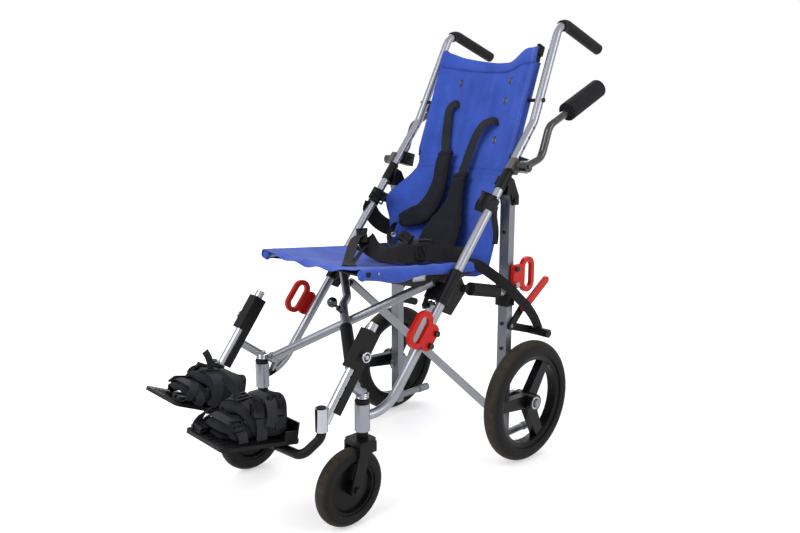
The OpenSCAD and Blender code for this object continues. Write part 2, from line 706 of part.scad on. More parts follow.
// Three-spoke moulded rear wheel
module spin_x(x, y, z) {
    translate([x, y, z]) rotate([0, 90, 0]) children();
}
module rear_rim(s) {
    rim_w = rear_tyre_w - 13;
    color(dark) side(s) spin_x(rear_x, axle_y, axle_z) difference() {
        union() {
            rotate_extrude() polygon([
                [rim_d / 2 - 14, -rim_w / 2 + 4], [rim_d / 2 - 4, -rim_w / 2], [rim_d / 2, -rim_w / 2],
                [rim_d / 2, rim_w / 2], [rim_d / 2 - 4, rim_w / 2], [rim_d / 2 - 14, rim_w / 2 - 4]]);
            cylinder(h = hub_l, d = hub_d, center = true);
            for (i = [0 : 2]) rotate(i * 120 + 25) linear_extrude(22, center = true)
                polygon([[0, -19], [rim_d / 2 - 8, -14], [rim_d / 2 - 8, 14], [0, 19]]);
        }
        cylinder(h = hub_l + 2 * over, d = axle_d + 2 * run_gap, center = true);
        for (e = [-1, 1]) translate([0, 0, e * hub_l / 2]) difference() {
            cylinder(h = 10, d = hub_d - 8, center = true);
            cylinder(h = 10, d = hub_d - 20, center = true);
        }
    }
}

// Tyres: a round tread over a flat-sided seat
module tyre_ring(d, bore, w) {
    r = w / 2;
    rotate_extrude() difference() {
        union() {
            translate([d / 2 - r, 0]) circle(r = r);
            translate([bore / 2, -r * 0.86]) square([(d - bore) / 2 - r, 2 * r * 0.86]);
        }
        translate([0, -w]) square([bore / 2, 2 * w]);
    }
}
module rear_tyre(s) {
    color(dark) side(s) spin_x(rear_x, axle_y, axle_z) tyre_ring(rear_wheel_d, rim_d, rear_tyre_w);
}
// Brake: black arm with the shoe across the tyre, and the red lever
module brake_arm(s) {
    color(dark) side(s) difference() {
        union() {
            plate_x(brake_at.x + gap, brake_at.x + gap + arm_t) {
                bar_2d([brake_at.y, brake_at.z], [shoe_at.y, shoe_at.z], 20);
                bar_2d([brake_at.y, brake_at.z], [lever_root.y, lever_root.z], 20);
            }
            pin_x(brake_at.x + gap, rear_x + rear_tyre_w / 2, shoe_at.y, shoe_at.z, shoe_d);
        }
        pin_x(leg_out - over, brake_at.x + 30, brake_at.y, brake_at.z, pin_d + 2 * run_gap);
    }
}
module brake_lever(s) {
    color(red) side(s) plate_x(brake_at.x + gap + arm_t, brake_at.x + gap + arm_t + 9)
        bar_2d([lever_root.y - 6, lever_root.z - 4], [lever_tip.y, lever_tip.z], 19);
}

// Armrest: S-bent tube on a pivot eye, and its foam
module armrest_tube(s) {
    color(dark) side(s) difference() {
        union() {
            pin_x(arm_x - arm_eye_t / 2, arm_x + arm_eye_t / 2, arm_pivot.y, arm_pivot.z, arm_eye_d);
            bent_rod(arm_path, arm_bend_r, arm_tube_d);
        }
        pin_x(arm_x - 2 * arm_eye_t, arm_x + 2 * arm_eye_t, arm_pivot.y, arm_pivot.z, pin_d + 2 * run_gap);
    }
}
module armrest_pad(s) {
    tip = arm_path[3];
    along = unit(arm_path[3] - arm_path[2]);
    color(dark) side(s) difference() {
        rod(tip - along * (arm_pad_l - 6), tip + along * 6, arm_pad_d);
        rod(tip - along * arm_pad_l, tip, arm_tube_d + 2 * fit);
    }
}

// Caster fork with its stem, two flat legs and the axle
module caster_fork(s) {
    half = caster_w / 2 + fork_gap;
    color(dark) side(s) {
        translate([stem_at.x, stem_at.y, crown_z]) cylinder(h = housing_z1 - crown_z - 16, d = stem_d);
        translate([stem_at.x, stem_at.y, crown_z]) cylinder(h = housing_z0 - gap - crown_z, d = stem_d + 12);
        translate([stem_at.x - half - fork_t, stem_at.y - 32, crown_z - crown_t])
            linear_extrude(crown_t + 4) round_rect(2 * half + 2 * fork_t, 52, 9);
        for (x = [stem_at.x - half - fork_t, stem_at.x + half]) plate_x(x, x + fork_t) {
            bar_2d([stem_at.y - caster_trail, caster_d / 2], [stem_at.y - 12, crown_z - 12], 30);
            translate([stem_at.y - 30, crown_z - 26]) square([48, 24]);
        }
        pin_x(stem_at.x - half - fork_t - 5, stem_at.x + half + fork_t + 5,
              stem_at.y - caster_trail, caster_d / 2, caster_axle_d);
        for (x = [stem_at.x - half - fork_t - 6, stem_at.x + half + fork_t])
            pin_x(x, x + 6, stem_at.y - caster_trail, caster_d / 2, 15);
    }
}
module caster_rim(s) {
    rim_w = caster_w - 10;
    color(dark) side(s) spin_x(stem_at.x, stem_at.y - caster_trail, caster_d / 2) difference() {
        union() {
            rotate_extrude() polygon([[0, -6], [caster_rim_d / 2 - 10, -6], [caster_rim_d / 2 - 6, -rim_w / 2],
                                      [caster_rim_d / 2, -rim_w / 2], [caster_rim_d / 2, rim_w / 2],
                                      [caster_rim_d / 2 - 6, rim_w / 2], [caster_rim_d / 2 - 10, 6], [0, 6]]);
            cylinder(h = caster_w + 2 * fork_gap - 2 * gap, d = 30, center = true);
        }
        cylinder(h = 2 * caster_w, d = caster_axle_d + 2 * run_gap, center = true);
    }
}
module caster_tyre(s) {
    color(dark) side(s) spin_x(stem_at.x, stem_at.y - caster_trail, caster_d / 2)
        tyre_ring(caster_d, caster_rim_d, caster_w);
}

// Chrome footrest tube with its row of holes and the upright swivel socket
module footrest_tube(s) {
    color([0.85, 0.86, 0.88]) side(s) difference() {
        union() {
            aim(foot_top - foot_dir * foot_proud, foot_dir) cylinder(h = foot_proud + foot_drop, d = foot_tube_d);
            translate([socket_at.x, socket_at.y, socket_z0]) cylinder(h = socket_z1 - socket_z0, d = socket_d);
        }
        aim(foot_top - foot_dir * (foot_proud + over), foot_dir)
            cylinder(h = foot_proud + foot_drop - 20, d = foot_tube_d - 2 * tube_wall);
        for (i = [0 : 4]) aim(foot_top + foot_dir * (pin_along + i * 25), foot_dir)
            rotate([-90, 0, 0]) cylinder(h = foot_tube_d, d = 6);
        translate([socket_at.x, socket_at.y, socket_z0 - over])
            cylinder(h = socket_z1 - socket_z0 + 2 * over, d = swivel_d + 2 * run_gap);
    }
}

// Footplate on its bent swivel tube: grooved tread, lips at the heel and at the outer edge
plate_tilt_right = 13;
swivel_path = [[socket_at.x, socket_at.y, socket_z1 + 2], [socket_at.x, socket_at.y, 236],
               [socket_at.x - 10, socket_at.y - 44, 205], [plate_inner + 30, socket_at.y - 56, 205]];
module on_plate(s) {
    hinge = [0, socket_at.y - 56, 205];
    translate(hinge) rotate([s > 0 ? 0 : -plate_tilt_right, 0, 0]) translate([plate_inner, plate_t * sin(plate_tilt) - plate_front, plate_front_z] - hinge)
        rotate([-plate_tilt, 0, 0]) children();
}
module footplate(s) {
    color(dark) side(s) {
        difference() {
            on_plate(s) {
                translate([0, 0, -plate_t]) linear_extrude(plate_t) round_rect(plate_w, plate_l, 12);
                translate([12, plate_l - lip_t, -plate_t]) cube([plate_w - 24, lip_t, lip_h + plate_t]);
                translate([plate_w - lip_t, plate_l - lip_l - 12, -plate_t]) cube([lip_t, lip_l, lip_h * 0.6 + plate_t]);
            }
            on_plate(s) for (i = [0 : 5]) translate([18, 14 + i * 9, -2]) cube([plate_w - 36, 4, 4]);
        }
        bent_rod(swivel_path, 24, swivel_d);
        for (x = [plate_inner + 40, plate_inner + 95]) difference() {
            translate([x, socket_at.y - 70, 207]) cube([18, 34, 24]);
            on_plate(s) translate([-plate_w, -plate_l, -plate_t / 2]) cube([3 * plate_w, 3 * plate_l, 60]);
        }
    }
}

// Padded shoe holder: heel cup, sides, a toe strap and an instep strap over the plate
shoe_w = 92;
shoe_l = 132;
shoe_h = 58;
shoe_wall = 9;
module shoe_holder(s) {
    mid = plate_w / 2 - 4;
    heel = plate_l - lip_t - gap - shoe_w / 2;
    color(dark) side(s) on_plate(s) translate([mid, 0, gap]) {
        linear_extrude(shoe_h) difference() {
            bar_2d([0, heel], [0, heel - shoe_l + shoe_w / 2], shoe_w);
            bar_2d([0, heel], [0, heel - shoe_l], shoe_w - 2 * shoe_wall);
        }
        for (y = [heel - 60, heel - 14]) translate([0, y, 34]) rotate([90, 0, 0]) difference() {
            rotate_extrude(angle = 180) translate([shoe_w / 2 - shoe_wall, -13]) square([shoe_wall + 2, 26]);
            translate([-shoe_w, -shoe_w, -shoe_w]) cube([2 * shoe_w, shoe_w, 2 * shoe_w]);
        }
    }
}

// Spring pin with a pull ring, through the clamp head into the footrest tube
module ring_pin(s) {
    half = foot_tube_d / 2 + run_gap + rail_wall;
    color([0.85, 0.86, 0.88]) side(s) aim(foot_top + foot_dir * pin_along, foot_dir) {
        rotate([-90, 0, 0]) translate([0, 0, foot_tube_d / 2 + 1]) cylinder(h = half - foot_tube_d / 2 + 13, d = 8);
        rotate([-90, 0, 0]) translate([0, 0, half + gap]) cylinder(h = 5, d = 15);
        translate([0, half + 12, 0]) rotate([90, 0, 0]) rotate_extrude() translate([10, 0]) circle(d = 3.4);
        translate([0, half + 12, 0]) rotate([0, 90, 0]) cylinder(h = 20, d = 2.6, center = true);
    }
}

// Slung seat: wraps over the rails and sags between them, with a wavy front edge that hangs down
function seat_x() = let (edge = [[rail_d / 2 + 1.2, 3], [rail_d * 0.39, rail_d * 0.44], [0, rail_d / 2 + 0.8]])
    concat([for (e = edge) [rail_x + e.x, e.y]],
           [for (u = [0.94 : -0.0895 : -0.95]) [u * rail_x, rail_d / 2 + 0.8]],
           [for (i = [2 : -1 : 0]) [-rail_x - edge[i].x, edge[i].y]]);
module seat_sling() {
    front = -seat_front + 12;
    rear = 168;
    rows = [for (v = [0 : 1 / 12 : 1.001]) let (y = front + v * (rear - front), z = rail_at(y).z)
        [for (c = seat_x()) let (u = c.x / rail_x, q = max(0, 1 - u * u))
            [c.x, y - 10 * q * pow(1 - v, 6),
             z + c.y - seat_sag * q - pow(1 - v, 8) * q * (8 + 5 * cos(u * 720))]]];
    color(blue) sheet(rows, [0, 0, cloth_t]);
}

// Slung back: a trough between the stays, with a dipped top hem and wings that reach for the main tubes
back_low = 508;
wing_z = 662;
wing_h = 55;
wing_out = 26;
wing_ahead = 66;
function back_v(z) = (z - back_low) / (back_top_z - back_low);
function wing(z) = exp(-pow((z - wing_z) / wing_h, 2));
function back_point(u, z) = let (q = 1 - u * u, belly = sin(180 * min(1, 1.3 - 1.3 * back_v(z))))
    [u * (back_half_w + wing_out * wing(z) * pow(abs(u), 3)),
     back_at(z) + (12 + 16 * belly) * q - wing_ahead * wing(z) * pow(abs(u), 5),
     z - back_dip * q * pow(back_v(z), 8)];
module back_sling() {
    rows = [for (v = [0 : 1 / 16 : 1.001]) [for (u = [-1 : 1 / 11 : 1.001])
        back_point(u, back_low + v * (back_top_z - back_low))]];
    color(blue) sheet(rows, [0, cloth_t, 0]);
}

// Shoulder harness: webbing out of the back's slots, down to two padded covers that hang to the right
web_t = 2;
pad_r = 26;
module shoulder_pad(a, b, c) {
    for (ends = [[a, b], [b, c]]) hull() for (p = ends)
        translate(p) rotate([-20, 0, 0]) scale([1, 0.34, 0.8]) sphere(r = pad_r, $fn = 16);
}
module shoulder_strap(u, slot_z, bow, pad) {
    slot = back_point(u, slot_z) - [0, 2 * gap + web_t, 0];
    strap([slot, slot + [bow.x * 0.4, -22, 2], slot + [bow.x, bow.y, -34], pad - [0, 0, 14]], [25, 0, 0], web_t);
}
module shoulder_harness() {
    color(dark) {
        shoulder_strap(0.48, 881, [-30, -42], [22, 232, 730]);
        shoulder_pad([22, 232, 716], [-6, 176, 628], [-22, 136, 566]);
        shoulder_strap(-0.53, 928, [-2, -30], [-70, 250, 786]);
        shoulder_pad([-70, 250, 772], [-94, 196, 684], [-124, 158, 622]);
    }
}

// Lap belt: webbing from both rear corners of the seat to a buckle, and a loose end that stands up
buckle = [52, 40, 16];
belt_x = rail_x - 29.5;
module lap_belt() {
    color(dark) {
        strap([[belt_x, 95, 527.4], [belt_x * 0.6, 72, 526], [20, 46, 526]], [4, 30, 0], web_t);
        strap([[20, 46, 527], [-belt_x * 0.6, 72, 526], [-belt_x, 95, 527.4]], [-4, 30, 0], web_t);
        translate([-15, 25, 519]) linear_extrude(buckle.z) round_rect(buckle.x, buckle.y, 8);
        strap([[-92, 70, 525], [-118, 20, 556], [-124, -6, 590]], [24, 8, 0], web_t);
        translate([-124, -6, 588]) rotate([60, 0, -12]) translate([-16, -12, -4]) linear_extrude(8) round_rect(32, 40, 6);
    }
}

main_tube(-1);  // main_tube_right
main_tube(1);  // main_tube_left
hand_grip(-1);  // hand_grip_right
hand_grip(1);  // hand_grip_left
upper_bracket(-1);  // upper_bracket_right
upper_bracket(1);  // upper_bracket_left
rear_leg(-1);  // rear_leg_right
rear_leg(1);  // rear_leg_left
front_loop(-1);  // front_loop_right
front_loop(1);  // front_loop_left
rear_loop(-1);  // rear_loop_right
rear_loop(1);  // rear_loop_left
footrest_rail(-1);  // footrest_rail_right
footrest_rail(1);  // footrest_rail_left
armrest_clamp(-1);  // armrest_clamp_right
armrest_clamp(1);  // armrest_clamp_left
back_stay(-1);  // back_stay_right
back_stay(1);  // back_stay_left
slider(-1);  // slider_right
slider(1);  // slider_left
seat_rail(-1);  // seat_rail_right
seat_rail(1);  // seat_rail_left
front_link_right();
front_link_left();
rear_bar(-1);  // rear_bar_right
rear_bar(1);  // rear_bar_left
strut(-1);  // strut_right
strut(1);  // strut_left
rear_rim(-1);  // rear_rim_right
rear_rim(1);  // rear_rim_left
rear_tyre(-1);  // rear_tyre_right
rear_tyre(1);  // rear_tyre_left
brake_lever(-1);  // brake_lever_right
brake_lever(1);  // brake_lever_left
brake_arm(-1);  // brake_arm_right
brake_arm(1);  // brake_arm_left
armrest_tube(-1);  // armrest_tube_right
armrest_tube(1);  // armrest_tube_left
armrest_pad(-1);  // armrest_pad_right
armrest_pad(1);  // armrest_pad_left
caster_fork(-1);  // caster_fork_right
caster_fork(1);  // caster_fork_left
caster_rim(-1);  // caster_rim_right
caster_rim(1);  // caster_rim_left
caster_tyre(-1);  // caster_tyre_right
caster_tyre(1);  // caster_tyre_left
footrest_tube(-1);  // footrest_tube_right
footrest_tube(1);  // footrest_tube_left
footplate(-1);  // footplate_right
footplate(1);  // footplate_left
shoe_holder(-1);  // shoe_holder_right
shoe_holder(1);  // shoe_holder_left
ring_pin(-1);  // ring_pin_right
ring_pin(1);  // ring_pin_left
lock_knob();
link_sleeve();
seat_sling();
back_sling();
shoulder_harness();
lap_belt();
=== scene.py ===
import math

import bpy
from mathutils import Matrix, Vector


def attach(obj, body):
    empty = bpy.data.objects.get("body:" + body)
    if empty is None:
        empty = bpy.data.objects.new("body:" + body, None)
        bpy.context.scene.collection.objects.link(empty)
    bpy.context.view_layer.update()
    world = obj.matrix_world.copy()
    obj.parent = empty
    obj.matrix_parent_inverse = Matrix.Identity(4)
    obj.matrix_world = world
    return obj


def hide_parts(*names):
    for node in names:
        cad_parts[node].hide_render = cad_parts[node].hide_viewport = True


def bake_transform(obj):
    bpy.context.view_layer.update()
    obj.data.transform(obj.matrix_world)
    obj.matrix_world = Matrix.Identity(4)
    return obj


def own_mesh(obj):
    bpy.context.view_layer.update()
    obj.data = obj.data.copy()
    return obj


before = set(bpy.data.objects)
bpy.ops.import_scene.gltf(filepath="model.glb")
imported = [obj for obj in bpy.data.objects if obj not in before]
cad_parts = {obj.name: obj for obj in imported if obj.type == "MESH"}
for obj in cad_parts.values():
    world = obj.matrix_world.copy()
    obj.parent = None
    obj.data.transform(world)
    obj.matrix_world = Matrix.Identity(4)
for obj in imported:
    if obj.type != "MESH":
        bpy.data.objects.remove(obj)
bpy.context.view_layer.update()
SIDES = (("left", 1), ("right", -1))

# Studio: a pale floor, three soft lamps and a camera at the photograph's angle.
# The floor is white to the camera and still takes the buggy's shadow.
bpy.ops.object.select_all(action="DESELECT")
bpy.context.scene.view_settings.view_transform = "Standard"
bpy.ops.object.camera_add(location=(1.3945, -1.2997, 0.8803))
camera = bpy.context.object
camera.rotation_euler = Vector((-0.71054, 0.67745, -0.19028)).to_track_quat("-Z", "Y").to_euler()
camera.data.sensor_width = 36
camera.data.sensor_fit = "HORIZONTAL"
camera.data.lens = 34.44
bpy.context.scene.camera = camera


def shade(red, green, blue):
    """A colour read off the photograph, as Blender's linear values."""
    parts = [value / 255 for value in (red, green, blue)]
    line = [p / 12.92 if p < 0.04045 else ((p + 0.055) / 1.055) ** 2.4 for p in parts]
    return (*line, 1.0)


def soft_lamp(name, place, target, size, watts):
    """A square soft box that looks at one point of the buggy."""
    bpy.ops.object.light_add(type="AREA", location=place)
    lamp = bpy.context.object
    lamp.name = name
    lamp.data.size = size
    lamp.data.energy = watts
    lamp.rotation_euler = (Vector(target) - Vector(place)).to_track_quat("-Z", "Y").to_euler()


soft_lamp("front_box", (0.1, -2.6, 2.5), (0, 0, 0.5), 1.8, 62)
soft_lamp("side_box", (2.8, 0.9, 1.9), (0, 0.1, 0.5), 1.6, 34)
soft_lamp("back_box", (-1.9, 1.7, 2.5), (0, 0.1, 0.6), 1.6, 34)


def add_node(tree, kind, **values):
    """A new shader node with these values on its inputs, whose names have underscores for spaces."""
    made = tree.nodes.new("ShaderNode" + kind)
    for key, value in values.items():
        made.inputs[key.replace("_", " ")].default_value = value
    return made


def add_sum(tree, operation, kind="Math"):
    """A new node that does one operation on numbers or vectors."""
    made = tree.nodes.new("ShaderNode" + kind)
    made.operation = operation
    return made


def wire(tree, *runs):
    """Links an output of one node to an input of another, for each run."""
    for source, leaves, target, enters in runs:
        tree.links.new(source.outputs[leaves], target.inputs[enters])


def seen_rays(tree):
    """A node with 1 for what the camera sees, straight or in a gloss, and 0 for the light on things."""
    path = add_node(tree, "LightPath")
    gloss = add_sum(tree, "MAXIMUM")
    glass = add_sum(tree, "MAXIMUM")
    wire(
        tree,
        (path, "Is Camera Ray", gloss, 0),
        (path, "Is Glossy Ray", gloss, 1),
        (gloss, 0, glass, 0),
        (path, "Is Transmission Ray", glass, 1),
    )
    return glass


world = bpy.data.worlds.new("studio_air")
bpy.context.scene.world = world
world.use_nodes = True
sky = world.node_tree
air = sky.nodes["Background"]
air.inputs["Color"].default_value = (1, 1, 1, 1)
level = add_node(sky, "MapRange", To_Min=0.5, To_Max=1.0)
wire(sky, (seen_rays(sky), 0, level, "Value"), (level, "Result", air, "Strength"))

bpy.ops.mesh.primitive_plane_add(size=24, location=(0, 0, -0.0015))
floor = bpy.context.object
floor.name = "studio_floor"
paper = bpy.data.materials.new("white_paper")
paper.use_nodes = True
leaf = paper.node_tree
paper_shader = leaf.nodes["Principled BSDF"]
paper_shader.inputs["Base Color"].default_value = (0.86, 0.86, 0.86, 1)
paper_shader.inputs["Roughness"].default_value = 0.9
glow = add_node(leaf, "Emission")
both = add_node(leaf, "AddShader")
spot = add_node(leaf, "TexCoord")
reach = add_sum(leaf, "LENGTH", "VectorMath")
fade = add_node(leaf, "MapRange", From_Min=0.7, From_Max=3.2, To_Min=0.42, To_Max=0.66)
lift = add_sum(leaf, "MULTIPLY")
wire(
    leaf,
    (spot, "Object", reach, 0),
    (reach, "Value", fade, "Value"),
    (seen_rays(leaf), 0, lift, 0),
    (fade, "Result", lift, 1),
    (lift, 0, glow, "Strength"),
    (paper_shader, 0, both, 0),
    (glow, 0, both, 1),
    (both, 0, leaf.nodes["Material Output"], "Surface"),
)
floor.data.materials.append(paper)


# Frame tubes: bent aluminium tube in a fine silver lacquer, with the two
# scissor tubes, the flat rear bars and the seat rails in the same finish.
def two_tone(tree, dark, light, levels):
    """A ramp from a dark colour at the first level to a light one at the second."""
    tint = add_node(tree, "ValToRGB")
    for stop, level, colour in zip(tint.color_ramp.elements, levels, (dark, light)):
        stop.position = level
        stop.color = [min(1, part) for part in colour] + [1]
    return tint


def new_finish(name, **values):
    """A new material, its nodes and its shader with these values on the shader's inputs."""
    made = bpy.data.materials.new(name)
    made.use_nodes = True
    shader = made.node_tree.nodes["Principled BSDF"]
    for key, value in values.items():
        shader.inputs[key.replace("_", " ")].default_value = value
    return made, made.node_tree, shader


def lacquer(name, colour, rough, metal=0.0, mottle=0.06, cloud=9.0, grain=900.0, depth=0.015, coat=0.0,
            shine=0.5):
    """A paint, plating or moulded plastic: clouded colour, uneven gloss and a fine grain."""
    made, tree, shader = new_finish(name, Metallic=metal, Coat_Weight=coat, Specular_IOR_Level=shine)
    where = add_node(tree, "TexCoord")
    patches = add_node(tree, "TexNoise", Scale=cloud, Detail=6)
    dark = [part * (1 - mottle) for part in colour[:3]]
    light = [part * (1 + mottle) for part in colour[:3]]
    tint = two_tone(tree, dark, light, (0.3, 0.72))
    gloss = add_node(tree, "MapRange", To_Min=max(0.03, rough - 0.07), To_Max=min(1.0, rough + 0.07))
    pores = add_node(tree, "TexNoise", Scale=grain, Detail=3)
    bump = add_node(tree, "Bump", Strength=depth, Distance=0.001)
    wire(
        tree,
        (where, "Object", patches, "Vector"),
        (where, "Object", pores, "Vector"),
        (patches, "Fac", tint, "Fac"),
        (tint, "Color", shader, "Base Color"),
        (patches, "Fac", gloss, "Value"),
        (gloss, "Result", shader, "Roughness"),
        (pores, "Fac", bump, "Height"),
        (bump, "Normal", shader, "Normal"),
    )
    return made


def dress(finish, *names):
    """Gives the CAD nodes of these names, on both sides, their finish."""
    for name in names:
        for node in (name, name + "_left", name + "_right"):
            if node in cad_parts:
                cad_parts[node].data.materials.clear()
                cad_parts[node].data.materials.append(finish)


silver = lacquer("silver_lacquer", shade(143, 145, 153), 0.34, metal=0.74, mottle=0.05, depth=0.004)
dress(silver, "main_tube", "front_link", "seat_rail")
bar_silver = lacquer("flat_bar_silver", shade(150, 153, 160), 0.4, metal=0.7, mottle=0.06)
dress(bar_silver, "rear_bar")
leg_grey = lacquer("leg_grey", shade(122, 125, 132), 0.42, metal=0.72, mottle=0.06, cloud=6.0)
dress(leg_grey, "rear_leg")


# Folding gear and brackets: black glass-filled plastic, moulded with a fine
# spark-eroded grain, with rubber grips on the struts and the scissor tube.
moulded = lacquer("moulded_black", shade(19, 19, 21), 0.4, mottle=0.16, cloud=16, depth=0.08, shine=0.13)
rubber = lacquer("rubber_black", shade(18, 18, 20), 0.6, mottle=0.16, cloud=22, grain=700, depth=0.2,
                 shine=0.16)
dress(moulded, "upper_bracket", "slider", "footrest_rail", "back_stay", "caster_fork", "brake_arm",
      "footplate")
dress(rubber, "link_sleeve", "strut", "hand_grip")
knob_black = lacquer("knob_black", shade(18, 18, 20), 0.16, mottle=0.1, coat=0.5)
dress(knob_black, "lock_knob")

# Tie-down loops and brake levers: flat steel in a thick red powder coat, the
# loops screwed to the tubes and legs, the levers fixed to the brake arms.
red_coat = lacquer("red_powder_coat", shade(192, 24, 14), 0.34, mottle=0.08, cloud=18, grain=520, depth=0.08,
                   shine=0.2)
dress(red_coat, "front_loop", "rear_loop", "brake_lever")

# Armrests: black bent tube in a bronze-grey clamp on the main tube, with a
# closed-cell foam sleeve pushed over its end.
tube_black = lacquer("armrest_tube_black", shade(40, 41, 45), 0.26, metal=0.3, mottle=0.1, coat=0.3)
dress(tube_black, "armrest_tube")
bronze = lacquer("bronze_grey", shade(92, 88, 84), 0.44, metal=0.6, mottle=0.1)
dress(bronze, "armrest_clamp")
foam = lacquer("foam_black", shade(31, 31, 35), 0.82, mottle=0.2, cloud=40, grain=420, depth=0.5, shine=0.14)
dress(foam, "armrest_pad")

# Footrest tubes and ring pins: bright chrome over steel, the tubes sliding in
# the footrest rails and held there by the sprung pins.
chrome = lacquer("chrome", shade(168, 170, 177), 0.12, metal=1.0, mottle=0.1, cloud=20, depth=0.006)
dress(chrome, "footrest_tube", "ring_pin")


# Wheels: moulded black rims on sealed bearings, solid rubber tyres whose
# running faces are dusty and worn brown.
def tyre_rubber(name, hub, radius):
    """Tyre rubber round the hub: clean side walls, dust and wear towards the running face."""
    made = lacquer(name, shade(26, 26, 26), 0.74, mottle=0.2, cloud=26, grain=600, depth=0.25, shine=0.16)
    tree = made.node_tree
    shader = tree.nodes["Principled BSDF"]
    plain = shader.inputs["Base Color"].links[0].from_node
    where = add_node(tree, "TexCoord")
    centre = add_node(tree, "Mapping", Location=[-value for value in hub])
    flat = add_sum(tree, "MULTIPLY", "VectorMath")
    flat.inputs[1].default_value = (0, 1, 1)
    reach = add_sum(tree, "LENGTH", "VectorMath")
    band = add_node(tree, "MapRange", From_Min=radius - 0.011, From_Max=radius)
    dusty = add_node(tree, "TexNoise", Scale=70, Detail=8)
    amount = add_sum(tree, "MULTIPLY")
    mixed = add_node(tree, "Mix")
    mixed.data_type = "RGBA"
    mixed.inputs["B"].default_value = shade(78, 69, 58)
    wire(
        tree,
        (where, "Object", centre, "Vector"),
        (centre, "Vector", flat, 0),
        (flat, "Vector", reach, 0),
        (reach, "Value", band, "Value"),
        (where, "Object", dusty, "Vector"),
        (band, "Result", amount, 0),
        (dusty, "Fac", amount, 1),
        (amount, 0, mixed, "Factor"),
        (plain, "Color", mixed, "A"),
        (mixed, "Result", shader, "Base Color"),
    )
    return made


rim_black = lacquer("rim_black", shade(11, 12, 14), 0.3, mottle=0.12, cloud=14, grain=800, depth=0.05,
                    shine=0.12)
dress(rim_black, "rear_rim", "caster_rim")
REAR_AXLE = (0.252, 0.245, 0.159)
CASTER_AXLE = (0.194, -0.309, 0.089)
for label, hand in SIDES:
    for name, (x, y, z) in (("rear_tyre_" + label, REAR_AXLE), ("caster_tyre_" + label, CASTER_AXLE)):
        dress(tyre_rubber(name, (hand * x, y, z), z), name)


# Bolts, discs and rings on the frame: black button-head screws at the loops and legs, black discs in the
# adjusting holes as painted shade for the holes' dark insides, bearings in the rear hubs.
def pick_faces(piece, test):
    """Selects the faces whose centre and normal pass the test, and leaves the piece in edit mode."""
    bpy.ops.object.mode_set(mode="EDIT")
    bpy.ops.mesh.select_mode(type="FACE")
    bpy.ops.mesh.select_all(action="DESELECT")
    bpy.ops.object.mode_set(mode="OBJECT")
    for face in piece.data.polygons:
        face.select = test(face.center, face.normal)
    bpy.ops.object.mode_set(mode="EDIT")


def settle(piece, name, place, up, ahead, finish, body):
    """Puts a piece that was shaped at the origin in its place: its Z along up, its Y towards ahead."""
    bpy.ops.object.mode_set(mode="OBJECT")
    z = Vector(up).normalized()
    y = (Vector(ahead) - z * Vector(ahead).dot(z)).normalized()
    turn = Matrix((y.cross(z), y, z)).transposed()
    piece.name = name
    piece.rotation_euler = turn.to_euler()
    piece.location = place
    bpy.ops.object.transform_apply(location=True, rotation=True, scale=True)
    bpy.ops.object.shade_smooth_by_angle(angle=math.radians(40))
    piece.data.materials.append(finish)
    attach(piece, body)
    return piece


def soften(piece, width, steps=2):
    """Rounds the piece's sharp edges with an applied bevel."""
    bpy.ops.object.mode_set(mode="OBJECT")
    edge = piece.modifiers.new("edge", "BEVEL")
    edge.width = width
    edge.segments = steps
    edge.limit_method = "ANGLE"
    bpy.ops.object.modifier_apply(modifier="edge")


def cut_block(size):
    """A block of these sizes at the origin."""
    bpy.ops.object.select_all(action="DESELECT")
    bpy.ops.mesh.primitive_cube_add(size=1)
    block = bpy.context.object
    block.scale = size
    bpy.ops.object.transform_apply(scale=True)
    return block


def cut_rod(corners, radius, length):
    """A rod at the origin, along Z."""
    bpy.ops.object.select_all(action="DESELECT")
    bpy.ops.mesh.primitive_cylinder_add(vertices=corners, radius=radius, depth=length)
    return bpy.context.object


def cut_ring(radius, wire_radius, corners, sides, height=0.0):
    """A ring round Z, its middle at this height."""
    bpy.ops.object.select_all(action="DESELECT")
    bpy.ops.mesh.primitive_torus_add(major_radius=radius, minor_radius=wire_radius, major_segments=corners,
                                     minor_segments=sides, location=(0, 0, height))
    bpy.ops.object.transform_apply(location=True)
    return bpy.context.object


def sink(piece, test, rim, way):
    """Leaves a rim round the faces that pass the test and moves their middle by way."""
    pick_faces(piece, test)
    bpy.ops.mesh.inset(thickness=rim)
    bpy.ops.mesh.extrude_region_move(TRANSFORM_OT_translate={"value": way})


def button_screw(name, place, out, wide, high, finish, body):
    """A button-head screw with a hexagon socket sunk in its domed head."""
    bpy.ops.object.select_all(action="DESELECT")
    bpy.ops.mesh.primitive_cylinder_add(vertices=24, radius=wide / 2, depth=high, location=(0, 0, high / 2))
    screw = bpy.context.object
    bpy.ops.object.transform_apply(location=True)
    sink(screw, lambda c, n: n.z > 0.9, wide * 0.24, (0, 0, -0.0014))
    soften(screw, high * 0.2)
    return settle(screw, name, place, out, (0.1, 0.2, 1), finish, body)


def hole_shade_disc(name, place, out, wide, body):
    """A black disc in a drilled hole, painted shade for the hole's dark inside: a thin rim with a dished
    middle.
    """
    plug = cut_rod(20, wide / 2, 0.0016)
    sink(plug, lambda c, n: n.z > 0.9, wide * 0.14, (0, 0, -0.001))
    soften(plug, 0.0002, 1)
    return settle(plug, name, place, out, (0.1, 0.2, 1), knob_black, body)


STRUT_DIR = Vector((0, 0.978, -0.2115))
TUBE_DIR = Vector((0, 0.6266, 0.7793))
TUBE_X = 0.2055
BEND_Z = 0.871
POST = (0.194, -0.269)


def tube_axis(z, hand):
    """A point of the main tube's middle line at height z, on its straight run or above the bend."""
    if z < BEND_Z:
        return Vector((hand * TUBE_X, (z - 0.498) / 1.2437, z))
    rise = (z - BEND_Z) / 0.255
    return Vector((hand * (TUBE_X - 0.0145 * rise), 0.2999 + 0.1189 * rise, z))


